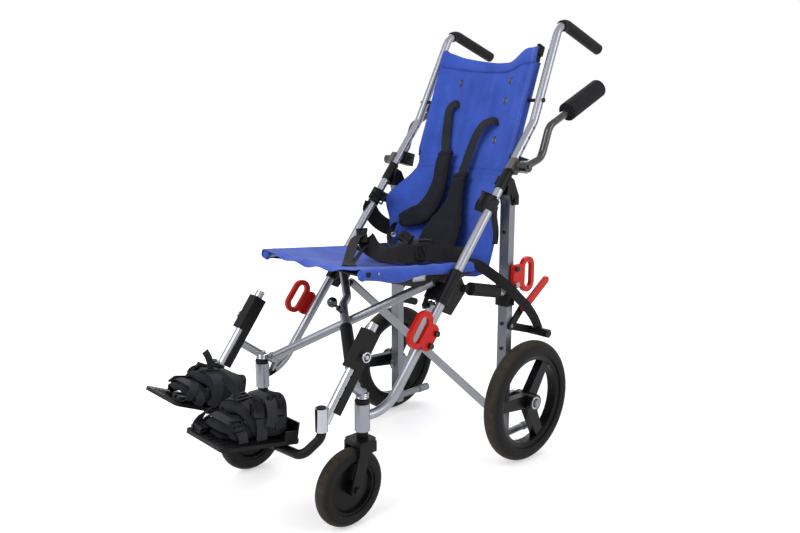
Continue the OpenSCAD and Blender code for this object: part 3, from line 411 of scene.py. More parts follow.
screw_black = lacquer("screw_black", shade(30, 30, 32), 0.3, metal=0.5, mottle=0.1)
zinc = lacquer("bright_zinc", shade(150, 152, 155), 0.28, metal=0.9, mottle=0.06, cloud=30)
for label, hand in SIDES:
    body = "frame_" + label
    out = (hand, 0, 0)
    for step, (y, z) in enumerate(((-0.08, 0.3985), (-0.1001, 0.3735))):
        button_screw("front_loop_screw_%s_%d" % (label, step), (hand * 0.2344, y, z), out, 0.014, 0.0074,
                     screw_black, body)
    for step, (z, finish) in enumerate(((0.508, screw_black), (0.468, zinc))):
        button_screw("rear_loop_screw_%s_%d" % (label, step), (hand * 0.2298, 0.216, z), out, 0.0135, 0.0074,
                     finish, body)
    for step, z in enumerate((0.363, 0.297, 0.6)):
        button_screw("leg_screw_%s_%d" % (label, step), (hand * 0.2005, 0.2001, z), (0, -1, 0), 0.009, 0.004,
                     screw_black, body)
    button_screw("stay_screw_" + label, tube_axis(0.925, hand) + Vector((hand * 0.0106, 0, 0)), out, 0.012,
                 0.004, screw_black, body)
    # Three black discs on each face of the tube: painted shade for the dark insides of its adjusting holes.
    for step, z in enumerate((0.808, 0.832, 0.856)):
        for face, way in (("out", hand), ("in", -hand)):
            spot = tube_axis(z, hand) + Vector((way * 0.0108, 0, 0))
            hole_shade_disc("tube_plug_%s_%s_%d" % (label, face, step), spot, (way, 0, 0), 0.0075, body)

    # A bright ferrule on the strut's rear end, and the bearing's race in the rear hub.
    ferrule = cut_rod(40, 0.0104, 0.026)
    soften(ferrule, 0.001)
    middle = Vector((hand * 0.216, 0.209, 0.446)) - STRUT_DIR * 0.0435
    settle(ferrule, "strut_ferrule_" + label, middle, STRUT_DIR, (1, 0, 0), bar_silver, "strut_" + label)
    race = cut_ring(0.0142, 0.003, 40, 10)
    bpy.ops.transform.resize(value=(1, 1, 0.5))
    settle(race, "hub_bearing_" + label, (hand * 0.2822, *REAR_AXLE[1:]), out, (0, 0, 1), zinc,
           "rear_wheel_" + label)

    # A rubber boot and a short chrome spring on top of each caster's post.
    boot = cut_rod(40, 0.0145, 0.011)
    pick_faces(boot, lambda c, n: abs(n.z) < 0.1)
    bpy.ops.mesh.subdivide(number_cuts=1)
    bpy.ops.object.mode_set(mode="OBJECT")
    for point in boot.data.vertices:
        if abs(point.co.z) < 0.001:
            point.co.x *= 1.2
            point.co.y *= 1.2
    soften(boot, 0.0012)
    settle(boot, "post_boot_" + label, (hand * POST[0], POST[1], 0.2768), (0, 0, 1), (0, 1, 0), rubber, body)
    coils = []
    for step in range(3):
        coils.append(cut_ring(0.0128, 0.0019, 36, 8, 0.0042 * step))
    for coil in coils:
        coil.select_set(True)
    bpy.ops.object.join()
    settle(bpy.context.object, "post_spring_" + label, (hand * POST[0], POST[1], 0.285), (0, 0.1, 1),
           (0, 1, 0), chrome, body)

    # A moulded block behind the tube backs the armrest's clamp, and another grips the rear leg.
    knuckle = cut_block((0.026, 0.046, 0.036))
    sink(knuckle, lambda c, n: abs(n.x) > 0.9, 0.007, (0, 0, 0))
    bpy.ops.transform.resize(value=(1.25, 0.8, 0.8))
    soften(knuckle, 0.005, 3)
    settle(knuckle, "armrest_hinge_" + label, tube_axis(0.768, hand) + Vector((0, 0.031, -0.002)),
           (0, 0.25, 1), (0, 1, 0), moulded, body)
    clamp = cut_block((0.038, 0.031, 0.056))
    sink(clamp, lambda c, n: n.x * hand > 0.9, 0.006, (-hand * 0.0015, 0, 0))
    soften(clamp, 0.003)
    settle(clamp, "leg_clamp_" + label, (hand * 0.1988, 0.211, 0.438), (0, 0, 1), (0, 1, 0), moulded, body)


# Slung seat: one piece of blue woven nylon, sewn into a pocket round each seat
# rail, sagging between them, with a turned front hem that has gone wavy.
def woven(name, colour, threads, wear, sheen):
    """Woven cloth on the piece's own UV map: warp and weft, faded patches and a soft sheen."""
    made, tree, shader = new_finish(name, Roughness=0.82, Sheen_Weight=sheen, Sheen_Roughness=0.5,
                                    Specular_IOR_Level=0.2)
    where = add_node(tree, "TexCoord")
    warp = add_node(tree, "TexWave", Scale=threads[0])
    weft = add_node(tree, "TexWave", Scale=threads[1])
    warp.bands_direction = "X"
    weft.bands_direction = "Y"
    weave = add_sum(tree, "MAXIMUM")
    faded = add_node(tree, "TexNoise", Scale=11, Detail=7, Roughness=0.62)
    dark = [part * (1 - wear) for part in colour[:3]]
    light = [part * (1 + wear) + 0.02 * wear for part in colour[:3]]
    tint = two_tone(tree, dark, light, (0.28, 0.78))
    depth = add_node(tree, "Mix")
    depth.data_type = "RGBA"
    depth.blend_type = "MULTIPLY"
    depth.inputs["Factor"].default_value = 0.22
    bump = add_node(tree, "Bump", Strength=0.35, Distance=0.0006)
    wire(
        tree,
        (where, "UV", warp, "Vector"),
        (where, "UV", weft, "Vector"),
        (where, "Object", faded, "Vector"),
        (warp, "Fac", weave, 0),
        (weft, "Fac", weave, 1),
        (faded, "Fac", tint, "Fac"),
        (tint, "Color", depth, "A"),
        (weave, 0, depth, "B"),
        (depth, "Result", shader, "Base Color"),
        (weave, 0, bump, "Height"),
        (bump, "Normal", shader, "Normal"),
    )
    return made


def spread_cloth(name, place, columns, rows, thick, side, finish):
    """Lays a grid of cloth over place(u, v), u from -1 to 1 and v from 0 to 1, and gives it its thickness."""
    bpy.ops.object.select_all(action="DESELECT")
    bpy.ops.mesh.primitive_grid_add(x_subdivisions=columns, y_subdivisions=rows, size=2)
    cloth = bpy.context.object
    cloth.name = name
    for point in cloth.data.vertices:
        point.co = place(point.co.x, (point.co.y + 1) / 2)
    wall = cloth.modifiers.new("cloth", "SOLIDIFY")
    wall.thickness = thick
    wall.offset = side
    bpy.ops.object.modifier_apply(modifier="cloth")
    bpy.ops.object.shade_smooth_by_angle(angle=math.radians(50))
    cloth.data.materials.append(finish)
    return cloth


blue = woven("blue_nylon", shade(56, 87, 186), (46, 58), 0.26, 0.1)
RAIL_X = 0.1795
SEAT_FRONT = -0.26
POCKET_FROM = 0.8


def rail_height(y):
    """Height of the seat rails' axis at y."""
    return 0.55 - 0.028 * (y + 0.248) / 0.336


# The cut across the seat, from the left pocket's inner lip round its rail and over to the right.
pocket = [(-0.006, -0.019), (0.0045, -0.0205), (0.0115, -0.013), (0.0125, -0.002), (0.0105, 0.0065)]
pocket += [(0.0055, 0.0112), (0.0, 0.0122)]


def ease(value, start, end):
    """0 before start, 1 after end and a smooth step between them."""
    part = min(1.0, max(0.0, (value - start) / (end - start)))
    return part * part * (3 - 2 * part)


def bell(value, middle, spread):
    """1 at the middle, falling smoothly to 0 on both sides."""
    return math.exp(-(((value - middle) / spread) ** 2))


def seat_place(u, v):
    """A point of the seat cloth: the pockets take the outer fifths of the grid, the sling the rest."""
    rear = 0.128 - 0.026 * min(1.0, abs(u) / POCKET_FROM) ** 4
    y = SEAT_FRONT + v * (rear - SEAT_FRONT)
    base = rail_height(y)
    edge = max(0.0, abs(u) - POCKET_FROM) / (1 - POCKET_FROM)
    hand = 1 if u > 0 else -1
    if edge > 0:
        at = (1 - edge) * (len(pocket) - 1)
        low = min(int(at), len(pocket) - 2)
        part = at - low
        dx = pocket[low][0] * (1 - part) + pocket[low + 1][0] * part
        dz = pocket[low][1] * (1 - part) + pocket[low + 1][1] * part
        if dz < 0:
            dz *= 0.45 + 0.6 * bell(y, -0.15, 0.055) + 0.05 * math.sin(26 * y + hand)
        return Vector((hand * (RAIL_X + dx), y, base + dz))
    s = u / POCKET_FROM
    q = 1 - s * s
    hem = max(0.0, 1 - v / 0.075)
    sag = 0.022 * (0.42 + 0.58 * ease(v, 0, 0.4))
    ripple = q * (1 - v) ** 8 * (0.0015 + 0.0032 * math.cos(math.radians(s * 720 + 40)))
    crease = 0.0011 * q * math.sin(9 * s + 5 * v) * math.sin(3.1 * s - 14 * v)
    pull = 0.0014 * math.sin(38 * v + 3 * s) * (1 - q) ** 3
    roll = -0.007 * q * hem ** 2
    seam = 0.0016 * bell(v, 0.075, 0.012)
    z = base + 0.0122 - sag * q - ripple + crease + pull + roll + seam
    return Vector((s * RAIL_X, y - 0.005 * q * (1 - v) ** 6 + 0.004 * hem * q, z))


def go_with_seat(piece):
    """The piece lies on the seat: it moves with the right slider and gets its own copy of its mesh."""
    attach(piece, "slider_right")
    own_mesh(piece)
    return piece


seat_cloth = go_with_seat(spread_cloth("seat_cloth", seat_place, 140, 110, 0.0016, 1, blue))
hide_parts("seat_sling")


def under_place(u, v):
    """A point of the black sling below the seat, which carries the weight between the rails."""
    y = -0.19 + 0.29 * v
    q = 1 - u * u
    hang = 0.032 * (1 - u ** 12) * (1 - 0.5 * abs(2 * v - 1) ** 3) + 0.008 * q
    hang *= 0.12 + 0.88 * ease(v, 0, 0.55)
    return Vector((u * (RAIL_X - 0.001), y,
                   rail_height(y) - 0.0125 - hang - 0.001 * math.sin(22 * v + 2 * u)))


for label, hand in SIDES:
    bpy.ops.object.select_all(action="DESELECT")
    bpy.ops.mesh.primitive_uv_sphere_add(segments=28, ring_count=16, radius=0.0126)
    tip = bpy.context.object
    bpy.ops.object.mode_set(mode="EDIT")
    bpy.ops.mesh.select_all(action="SELECT")
    bpy.ops.transform.resize(value=(1, 0.6, 1.04))
    settle(tip, "pocket_end_" + label, (hand * RAIL_X, -0.2535, rail_height(-0.2535) - 0.0008), (0, 0, 1),
           (0, 1, 0), blue, "slider_" + label)
sling_black = woven("sling_black", shade(30, 30, 34), (40, 40), 0.2, 0.05)
under_sling = spread_cloth("seat_under_sling", under_place, 60, 50, 0.002, 0, sling_black)
go_with_seat(under_sling)
for label, hand in SIDES:
    for step, (y, wide, finish) in enumerate(((-0.247, 0.0125, moulded), (-0.218, 0.0055, zinc))):
        spot = (hand * (RAIL_X + 0.013), y, rail_height(y) + 0.003)
        stud = button_screw("seat_stud_%s_%d" % (label, step), spot, (hand, 0, 0), wide, 0.0026, finish,
                            "slider_" + label)
    plate = cut_block((0.002, 0.04, 0.015))
    soften(plate, 0.0008)
    sink(plate, lambda c, n: n.x * hand > 0.9, 0.003, (-hand * 0.0005, 0, 0))
    settle(plate, "seat_bracket_" + label, (hand * (RAIL_X + 0.0095), -0.09, 0.5225), (0, 0.08, 1),
           (0, 1, 0), zinc, "slider_" + label)


# Slung back: blue nylon between two stays, with a turned top hem, a cross seam
# where the deeper bucket is sewn on, and wings that are strapped to the tubes.
BACK_TOP = 1.062
BACK_LOW = 0.497
HEM_LOW = 1.02
SEAM_Z = 0.743
WING_Z = 0.662
STAY_FRONT = 0.0125
BACK_SLOPE = math.tan(math.radians(69.5))


def up_back(z):
    """How far up the back the height z is, from 0 at its lower edge to 1 at its top."""
    return (z - BACK_LOW) / (BACK_TOP - BACK_LOW)


def stay_line(z):
    """How far back the stays are at height z."""
    return 0.376 - (BACK_TOP - z) / BACK_SLOPE


def top_dip(u):
    """How far the top edge hangs below the corners: a long slope on the right, a short one on the left."""
    if u < 0.15:
        return 0.0345 * (1 - ((0.15 - u) / 1.15) ** 1.35) - 0.007 * ease(-u, 0.55, 1.0)
    return 0.01725 * (1 + math.cos(math.pi * min(1.0, max(0.0, (u - 0.3) / 0.45))))


def along(values):
    """Eases through the values as its argument goes from 0 to 1."""
    def at(t):
        place = t * (len(values) - 1)
        low = min(int(place), len(values) - 2)
        part = place - low
        part = part * part * (3 - 2 * part)
        return values[low] * (1 - part) + values[low + 1] * part
    return at


def back_place(u, v):
    """A point of the back cloth at u across and v up. Its outer edges are turned round the stays, and
    below v = 0 it runs forward under the seat."""
    floor_run = max(0.0, -v) * (BACK_TOP - BACK_LOW) * (1 - 0.85 * u ** 6)
    v = max(0.0, v)
    z = BACK_LOW + v * (BACK_TOP - BACK_LOW)
    turned = max(0.0, abs(u) - 0.92) / 0.08
    hand = 1 if u > 0 else -1
    u = min(1.0, max(-1.0, u / 0.92))
    q = 1 - u * u
    wing = bell(z, WING_Z, 0.055)
    drawn = wing
    if z < WING_Z:
        slack = 0.5 if hand < 0 else 0.1
        drawn = slack + (1 - slack) * wing
        wing = 0.5 + 0.5 * wing
    belly = math.sin(math.pi * min(1.0, 1.3 - 1.3 * v))
    staying = ease(z, 0.75, 0.8)
    x = u * (0.16 + 0.0078 * staying + 0.032 * wing * abs(u) ** 3)
    y = stay_line(z) + (0.012 + 0.016 * belly) * q
    y -= 0.066 * drawn * abs(u) ** 5 + STAY_FRONT * staying * ease(abs(u), 0.8, 0.97)
    bared = 0.2 if hand > 0 and z > HEM_LOW else 1.0
    y += turned * bared * (0.01 + 0.0155 * staying)
    height = z - top_dip(u) * max(0.0, (z - 0.9) / 0.162) ** 2
    upper = min(1.0, max(0.0, (z - 0.76) / 0.05)) * min(1.0, max(0.0, (1.03 - z) / 0.04))
    folds = math.sin(21 * u + 1.2) * 0.9 + math.sin(34 * u + 6 * z) * 0.5 + math.sin(13 * u - 4 * z)
    y += 0.0023 * folds * upper * q
    lower = max(0.0, 1 - abs(z - 0.64) / 0.13)
    y += 0.003 * lower * math.sin(9 * u + 17 * z) * q
    y -= 0.011 * bell(u, 0.7, 0.07) * lower ** 0.6
    y -= 0.006 * bell(u, -0.62, 0.1) * lower
    y += 0.0026 * bell(z, SEAM_Z, 0.0035)
    if z > HEM_LOW:
        y -= 0.0016 + 0.0022 * math.sin(math.pi * (z - HEM_LOW) / (BACK_TOP - HEM_LOW))
    y += 0.0018 * bell(z, HEM_LOW, 0.003)
    return Vector((x, y - 0.0006 - floor_run, height - 0.06 * floor_run))


def back_and_floor(u, v):
    """The whole back cloth, with the strip that runs under the seat."""
    return back_place(u, v * 1.12 - 0.12)


def go_with_back(piece):
    """The piece is sewn to the back: it moves with the right frame and gets its own copy of its mesh."""
    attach(piece, "frame_right")
    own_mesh(piece)
    return piece


back_cloth = go_with_back(spread_cloth("back_cloth", back_and_floor, 130, 210, 0.002, -1, blue))
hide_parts("back_sling")


def smooth_path(points, steps):
    """Points along a smooth curve through the given ones."""
    ends = [points[0] * 2 - points[1]] + points + [points[-1] * 2 - points[-2]]
    line = []
    for i in range(1, len(ends) - 2):
        a, b, c, d = ends[i - 1 : i + 3]
        for k in range(steps):
            t = k / steps
            bend = (c - a) * t + (a * 2 - b * 5 + c * 4 - d) * t ** 2 + (b * 3 - a - c * 3 + d) * t ** 3
            line.append(b + bend * 0.5)
    return line + [points[-1]]


def swept(name, centres, sides, width, thick, ring, finish):
    """Sweeps a flat oval along a line: sides gives its breadth's direction, ring its number of corners."""
    count = len(centres)
    corners = []
    for i in range(count):
        ahead = (centres[min(i + 1, count - 1)] - centres[max(i - 1, 0)]).normalized()
        across = sides[i] - ahead * sides[i].dot(ahead)
        across.normalize()
        face = across.cross(ahead)
        t = i / (count - 1)
        for k in range(ring):
            turn = 2 * math.pi * (k + 0.5) / ring
            c = math.copysign(abs(math.cos(turn)) ** 0.45, math.cos(turn))
            s = math.copysign(abs(math.sin(turn)) ** 0.45, math.sin(turn))
            corners.append(centres[i] + across * (width(t) / 2 * c) + face * (thick(t) / 2 * s))
    faces = [tuple(range(ring)), tuple(range(len(corners) - 1, len(corners) - 1 - ring, -1))]
    for i in range(count - 1):
        for k in range(ring):
            n = (k + 1) % ring
            faces.append((i * ring + k, (i + 1) * ring + k, (i + 1) * ring + n, i * ring + n))
    mesh = bpy.data.meshes.new(name)
    mesh.from_pydata([tuple(c) for c in corners], [], faces)
    piece = bpy.data.objects.new(name, mesh)
    bpy.context.collection.objects.link(piece)
    bpy.ops.object.select_all(action="DESELECT")
    piece.select_set(True)
    bpy.context.view_layer.objects.active = piece
    bpy.ops.object.mode_set(mode="EDIT")
    bpy.ops.mesh.select_all(action="SELECT")
    bpy.ops.mesh.normals_make_consistent(inside=False)
    bpy.ops.object.mode_set(mode="OBJECT")
    bpy.ops.object.shade_smooth_by_angle(angle=math.radians(50))
    laid = mesh.uv_layers.new(name="length")
    length = [0.0]
    for i in range(1, count):
        length.append(length[-1] + (centres[i] - centres[i - 1]).length)
    for loop in mesh.loops:
        i, k = divmod(loop.vertex_index, ring)
        laid.data[loop.index].uv = (abs(2 * k / ring - 1), length[i] * 12)
    mesh.materials.append(finish)
    return piece


webbing = woven("black_webbing", shade(34, 35, 41), (2, 46), 0.22, 0.06)


def strap(name, points, across, width=0.025, thick=0.0018, finish=webbing, steps=10):
    """A length of webbing through the points. across gives its breadth's direction at each of them."""
    spots = [Vector(p) for p in points]
    if isinstance(across[0], (tuple, list)):
        turns = [Vector(a) for a in across]
    else:
        turns = [Vector(across)] * len(spots)
    line = smooth_path(spots, steps)
    sides = smooth_path(turns, steps)
    return swept(name, line, sides, lambda t: width, lambda t: thick, 8, finish)


def stitch_row(name, line, lift, finish):
    """A row of lockstitches along the points, each a small raised dash."""
    corners = []
    faces = []
    for here, ahead in zip(line[::2], line[1::2]):
        run = ahead - here
        flank = run.cross(lift).normalized() * 0.0004
        start = len(corners)
        for end in (here, ahead):
            for turn, rise in ((-1, 0.2), (0, 1.0), (1, 0.2)):
                corners.append(end + flank * turn + lift * rise)
        faces += [(start, start + 1, start + 4, start + 3), (start + 1, start + 2, start + 5, start + 4)]
        faces += [(start, start + 3, start + 5, start + 2), (start, start + 2, start + 1),
                  (start + 3, start + 4, start + 5)]
    mesh = bpy.data.meshes.new(name)
    mesh.from_pydata([tuple(c) for c in corners], [], faces)
    row = bpy.data.objects.new(name, mesh)
    bpy.context.collection.objects.link(row)
    mesh.materials.append(finish)
    return row


thread_blue = woven("blue_thread", shade(48, 70, 150), (30, 30), 0.15, 0.3)
for turn, z in enumerate((HEM_LOW + 0.0015, HEM_LOW + 0.0065, SEAM_Z + 0.006, SEAM_Z - 0.006)):
    seam = [back_place(-0.97 + 1.94 * k / 219, up_back(z)) - Vector((0, 0.0003, 0)) for k in range(220)]
    go_with_back(stitch_row("back_stitches_%d" % turn, seam, Vector((0, -0.0007, 0.0002)), thread_blue))

# Spare slots for the shoulder straps: oval plastic trims with a dark middle.
for turn, (x, z) in enumerate(((-0.085, 0.978), (0.071, 0.981), (0.067, 0.923), (0.063, 0.819),
                               (-0.09, 0.819))):
    trim = cut_ring(0.0062, 0.0016, 28, 8)
    bpy.ops.object.mode_set(mode="EDIT")
    bpy.ops.mesh.select_all(action="SELECT")
    bpy.ops.transform.resize(value=(0.72, 1.35, 0.7))
    bpy.ops.mesh.select_all(action="DESELECT")
    bpy.ops.mesh.primitive_circle_add(vertices=28, radius=0.006, fill_type="NGON")
    bpy.ops.transform.resize(value=(0.72, 1.35, 1))
    spot = back_place(x / 0.16, up_back(z + 0.004)) - Vector((0, 0.0012, 0))
    settle(trim, "strap_slot_%d" % turn, spot, (0, -0.94, 0.34), (0, 0.34, 0.94), knob_black, "frame_right")
    go_with_back(trim)

# The right stay's cap is tucked under the corner of the hem.
corner = []
for z in (1.012, 1.03, 1.05, 1.062, 1.068):
    corner.append(Vector((-0.1645, stay_line(z), z)))
hood = swept("hem_corner_right", corner, [Vector((0, 1, -0.37))] * 5,
             along((0.026, 0.0285, 0.0285, 0.0285, 0.022)),
             along((0.008, 0.0115, 0.0115, 0.0115, 0.007)), 20, blue)
go_with_back(hood)

# Black tape binds the bucket's left edge, where it goes behind the main tube.
edge = [back_place(1, v / 40) + Vector((0.0012, 0, 0)) for v in range(5, 13)]
tape = swept("bucket_tape", edge, [Vector((0.2, 1, 0.1))] * len(edge), lambda t: 0.018, lambda t: 0.0036, 8,
             webbing)
go_with_back(tape)


# Shoulder harness: black polyester webbing out of the back's slots, into two
# padded neoprene covers, narrow at the shoulder and flared or bent at the foot.
neoprene = lacquer("neoprene", shade(33, 34, 40), 0.9, mottle=0.2, cloud=24, grain=520, depth=0.3, shine=0.12)


def puff(piece, cap):
    """Fills a padded piece: evens its mesh, blows it up a little as cloth, and rounds it."""
    bpy.ops.object.select_all(action="DESELECT")
    piece.select_set(True)
    bpy.context.view_layer.objects.active = piece
    even = piece.modifiers.new("even", "REMESH")
    even.mode = "VOXEL"
    even.voxel_size = 0.004
    bpy.ops.object.modifier_apply(modifier="even")
    start = [point.co.copy() for point in piece.data.vertices]
    filling = piece.modifiers.new("filling", "CLOTH")
    filling.settings.use_pressure = True
    filling.settings.uniform_pressure_force = 4
    filling.settings.effector_weights.gravity = 0
    for step in range(1, 21):
        bpy.context.scene.frame_set(step)
    bpy.ops.object.modifier_apply(modifier="filling")
    bpy.context.scene.frame_set(1)
    for point, rest in zip(piece.data.vertices, start):
        move = point.co - rest
        if move.length > cap:
            point.co = rest + move * (cap / move.length)
    rounder = piece.modifiers.new("rounder", "SUBSURF")
    rounder.levels = 1
    rounder.render_levels = 1
    bpy.ops.object.modifier_apply(modifier="rounder")
    bpy.ops.object.shade_smooth()
    return piece


def shoulder_cover(name, points, sides, widths, thicks):
    """A padded cover along its strap, with sewn hems, and creases where it bends."""
    line = smooth_path([Vector(p) for p in points], 12)
    turns = smooth_path([Vector(s) for s in sides], 12)
    cover = puff(swept(name, line, turns, along(widths), along(thicks), 28, neoprene), 0.003)
    for point in cover.data.vertices:
        crease = math.sin(150 * point.co.z + 40 * point.co.x) * math.sin(70 * point.co.z - 55 * point.co.x)
        point.co.y += 0.0008 * crease
    go_with_back(cover)
    return cover


near_cover = shoulder_cover(
    "shoulder_cover_left",
    [(0.008, 0.25, 0.733), (0.012, 0.232, 0.7), (0.017, 0.21, 0.652), (0.014, 0.18, 0.6),
     (0.006, 0.147, 0.546)],
    [(1, -0.1, 0), (1, -0.1, 0), (1, -0.05, 0.05), (1, 0, 0.12), (1, 0.05, 0.22)],
    (0.049, 0.05, 0.055, 0.066, 0.092, 0.126, 0.146, 0.144),
    (0.011, 0.016, 0.017, 0.017, 0.016, 0.015, 0.013, 0.01),
)
shoulder_cover(
    "shoulder_cover_right",
    [(-0.068, 0.272, 0.789), (-0.063, 0.252, 0.748), (-0.056, 0.226, 0.692), (-0.068, 0.192, 0.633),
     (-0.104, 0.172, 0.611), (-0.14, 0.16, 0.6)],
    [(1, -0.1, 0), (1, -0.1, 0), (1, -0.1, -0.1), (0.8, 0, -0.5), (0.45, 0, -0.9), (0.3, 0, -1)],
    (0.05, 0.052, 0.056, 0.061, 0.066, 0.059, 0.049, 0.037),
    (0.011, 0.016, 0.018, 0.018, 0.019, 0.018, 0.016, 0.012),
)
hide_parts("shoulder_harness")

# A turned and sewn hem closes each cover's top, and the near one has a stitched cross at its foot.
DOWN_COVER = Vector((0.1, -0.48, -0.87))
for label, spot in (("left", (0.0085, 0.2485, 0.7305)), ("right", (-0.068, 0.2705, 0.786))):
    line = [Vector(spot) + DOWN_COVER * step for step in (-0.004, 0.0, 0.006, 0.0085)]
    hem = swept("cover_hem_" + label, line, [Vector((1, -0.1, 0))] * 4, along((0.047, 0.051, 0.051, 0.048)),
                along((0.011, 0.0165, 0.0165, 0.013)), 24, neoprene)
    go_with_back(hem)
thread_black = lacquer("black_thread", shade(24, 24, 27), 0.6, mottle=0.1)
for turn, slant in enumerate((0.6, -0.25)):
    cross = []
    for k in range(12):
        spot = Vector((0.028 + 0.028 * k / 11, 0.0, 0.585 + slant * 0.02 * (k / 11 - 0.5)))
        cross.append(near_cover.ray_cast(spot, (0, 1, 0))[1])
    go_with_back(stitch_row("cover_stitches_%d" % turn, cross, Vector((0.0004, -0.0009, 0.0003)),
                            thread_black))

near_web = strap(
    "shoulder_strap_left",
    [(0.071, 0.331, 0.868), (0.063, 0.316, 0.874), (0.042, 0.302, 0.866), (0.027, 0.291, 0.84),
     (0.018, 0.275, 0.798), (0.012, 0.256, 0.748), (0.009, 0.246, 0.722)],
    [(0.5, -0.3, -0.8), (0.6, -0.35, -0.7), (0.75, -0.25, -0.55), (0.9, 0.05, -0.3), (0.95, 0.2, -0.15),
     (1, 0.15, -0.1), (1, 0, 0)],
)
far_web = strap(
    "shoulder_strap_right",
    [(-0.083, 0.341, 0.917), (-0.09, 0.331, 0.921), (-0.104, 0.321, 0.904), (-0.1, 0.31, 0.87),
     (-0.092, 0.296, 0.835), (-0.078, 0.278, 0.8), (-0.068, 0.266, 0.776)],
    [(0.5, -0.3, -0.8), (0.62, -0.3, -0.68), (0.85, -0.05, -0.4), (0.95, 0.25, 0.0), (0.92, 0.35, 0),
     (0.97, 0.2, 0), (1, 0, 0)],
)
loop_web = strap(
    "cover_loop_right",
    [(-0.132, 0.162, 0.602), (-0.148, 0.152, 0.592), (-0.159, 0.147, 0.57), (-0.157, 0.14, 0.549),
     (-0.134, 0.133, 0.534), (-0.1, 0.128, 0.532), (-0.06, 0.115, 0.538)],
    [(0.2, 0.9, 0.3), (0.3, 0.9, 0.3), (0.5, 0.85, 0), (0.6, 0.8, 0), (0.4, 0.9, 0.2), (0.2, 1, 0.1),
     (0.2, 1, 0)],
    width=0.018,
)
for piece in (near_web, far_web, loop_web):
    go_with_back(piece)

# Behind the back the two straps run down from their slots and meet in one slide.
for label, run in (
    ("left", [(0.07, 0.868), (0.068, 0.862), (0.062, 0.83), (0.04, 0.765), (0.012, 0.69), (0.006, 0.655)]),
    ("right", [(-0.082, 0.917), (-0.081, 0.911), (-0.074, 0.87), (-0.048, 0.79), (-0.016, 0.695),
               (-0.01, 0.655)]),
):
    line = []
    for step, (x, z) in enumerate(run):
        off = 0.0012 if step == 0 else 0.0062
        line.append(back_place(x / 0.182, up_back(z)) + Vector((0, off, 0)))
    go_with_back(strap("rear_strap_" + label, line, (1, 0, 0)))

# A press stud holds the right cover's loop.
popper = cut_rod(28, 0.0075, 0.004)
sink(popper, lambda c, n: n.z > 0.9, 0.0024, (0, 0, -0.0012))
soften(popper, 0.0007)
settle(popper, "loop_popper", (-0.1465, 0.1445, 0.5615), (0.7, -0.7, 0.1), (0, 0, 1), zinc, "frame_right")
go_with_back(popper)


# Lap belt: broad and narrow webbing from the seat's rear corners, left in a heap
# on the seat with its buckles, one of them standing up on its stiff strap.
belt_web = woven("belt_webbing", shade(12, 12, 16), (2, 46), 0.22, 0.02)


def lap_strap(name, points, across, width):
    """A length of the lap belt, crumpled from use."""
    web = strap(name, points, across, width=width, thick=0.0022, finish=belt_web)
    for point in web.data.vertices:
        x, y, z = point.co
        crumple = math.sin(70 * x + 95 * y) * math.sin(120 * z + 40 * x)
        crumple += 0.6 * math.sin(160 * y - 90 * z + 60 * x)
        point.co += Vector((0.001, -0.001, 0.0016)) * (crumple * width / 0.03)
    return go_with_seat(web)


def buckle_block(wide, long, thick):
    """A side-release buckle at the origin: a body with a sunk top, side windows and a webbing bar."""
    block = cut_block((wide, long, thick))
    bpy.ops.object.mode_set(mode="EDIT")
    bpy.ops.mesh.select_all(action="SELECT")
    bpy.ops.mesh.subdivide(number_cuts=3)
    pick_faces(block, lambda c, n: abs(n.x) > 0.9 and abs(c.y) < long * 0.26)
    bpy.ops.mesh.extrude_region_move(TRANSFORM_OT_translate={"value": (0, 0, 0)})
    bpy.ops.transform.resize(value=(0.72, 1, 1))
    sink(block, lambda c, n: n.z > 0.9 and abs(c.x) < wide * 0.26 and c.y > -long * 0.24,
         wide * 0.06, (0, 0, -thick * 0.25))
    pick_faces(block, lambda c, n: n.y < -0.9)
    bpy.ops.transform.resize(value=(0.86, 1, 0.6))
    soften(block, thick * 0.14)
    return block


def glide(wide, long, thick):
    """A three-bar slide at the origin: two windows with a bar between them."""
    bars = []
    for shift in (-1, 1):
        bpy.ops.object.select_all(action="DESELECT")
        bpy.ops.mesh.primitive_cube_add(size=1, location=(0, shift * long * 0.22, 0))
        ring = bpy.context.object
        ring.scale = (wide, long * 0.56, thick)
        bpy.ops.object.transform_apply(location=True, scale=True)
        pick_faces(ring, lambda c, n: abs(n.z) > 0.9)
        bpy.ops.mesh.inset(thickness=long * 0.13)
        bpy.ops.mesh.bridge_edge_loops()
        soften(ring, thick * 0.2)
        bars.append(ring)
    bars[0].select_set(True)
    bpy.ops.object.join()
    return bpy.context.object


rear_slide = glide(0.042, 0.03, 0.0045)
spot = back_place(0, up_back(0.676)) + Vector((0, 0.0085, 0))
settle(rear_slide, "rear_strap_slide", spot, (0, 0.94, -0.34), (0, 0.34, 0.94), moulded, "frame_right")
go_with_back(rear_slide)

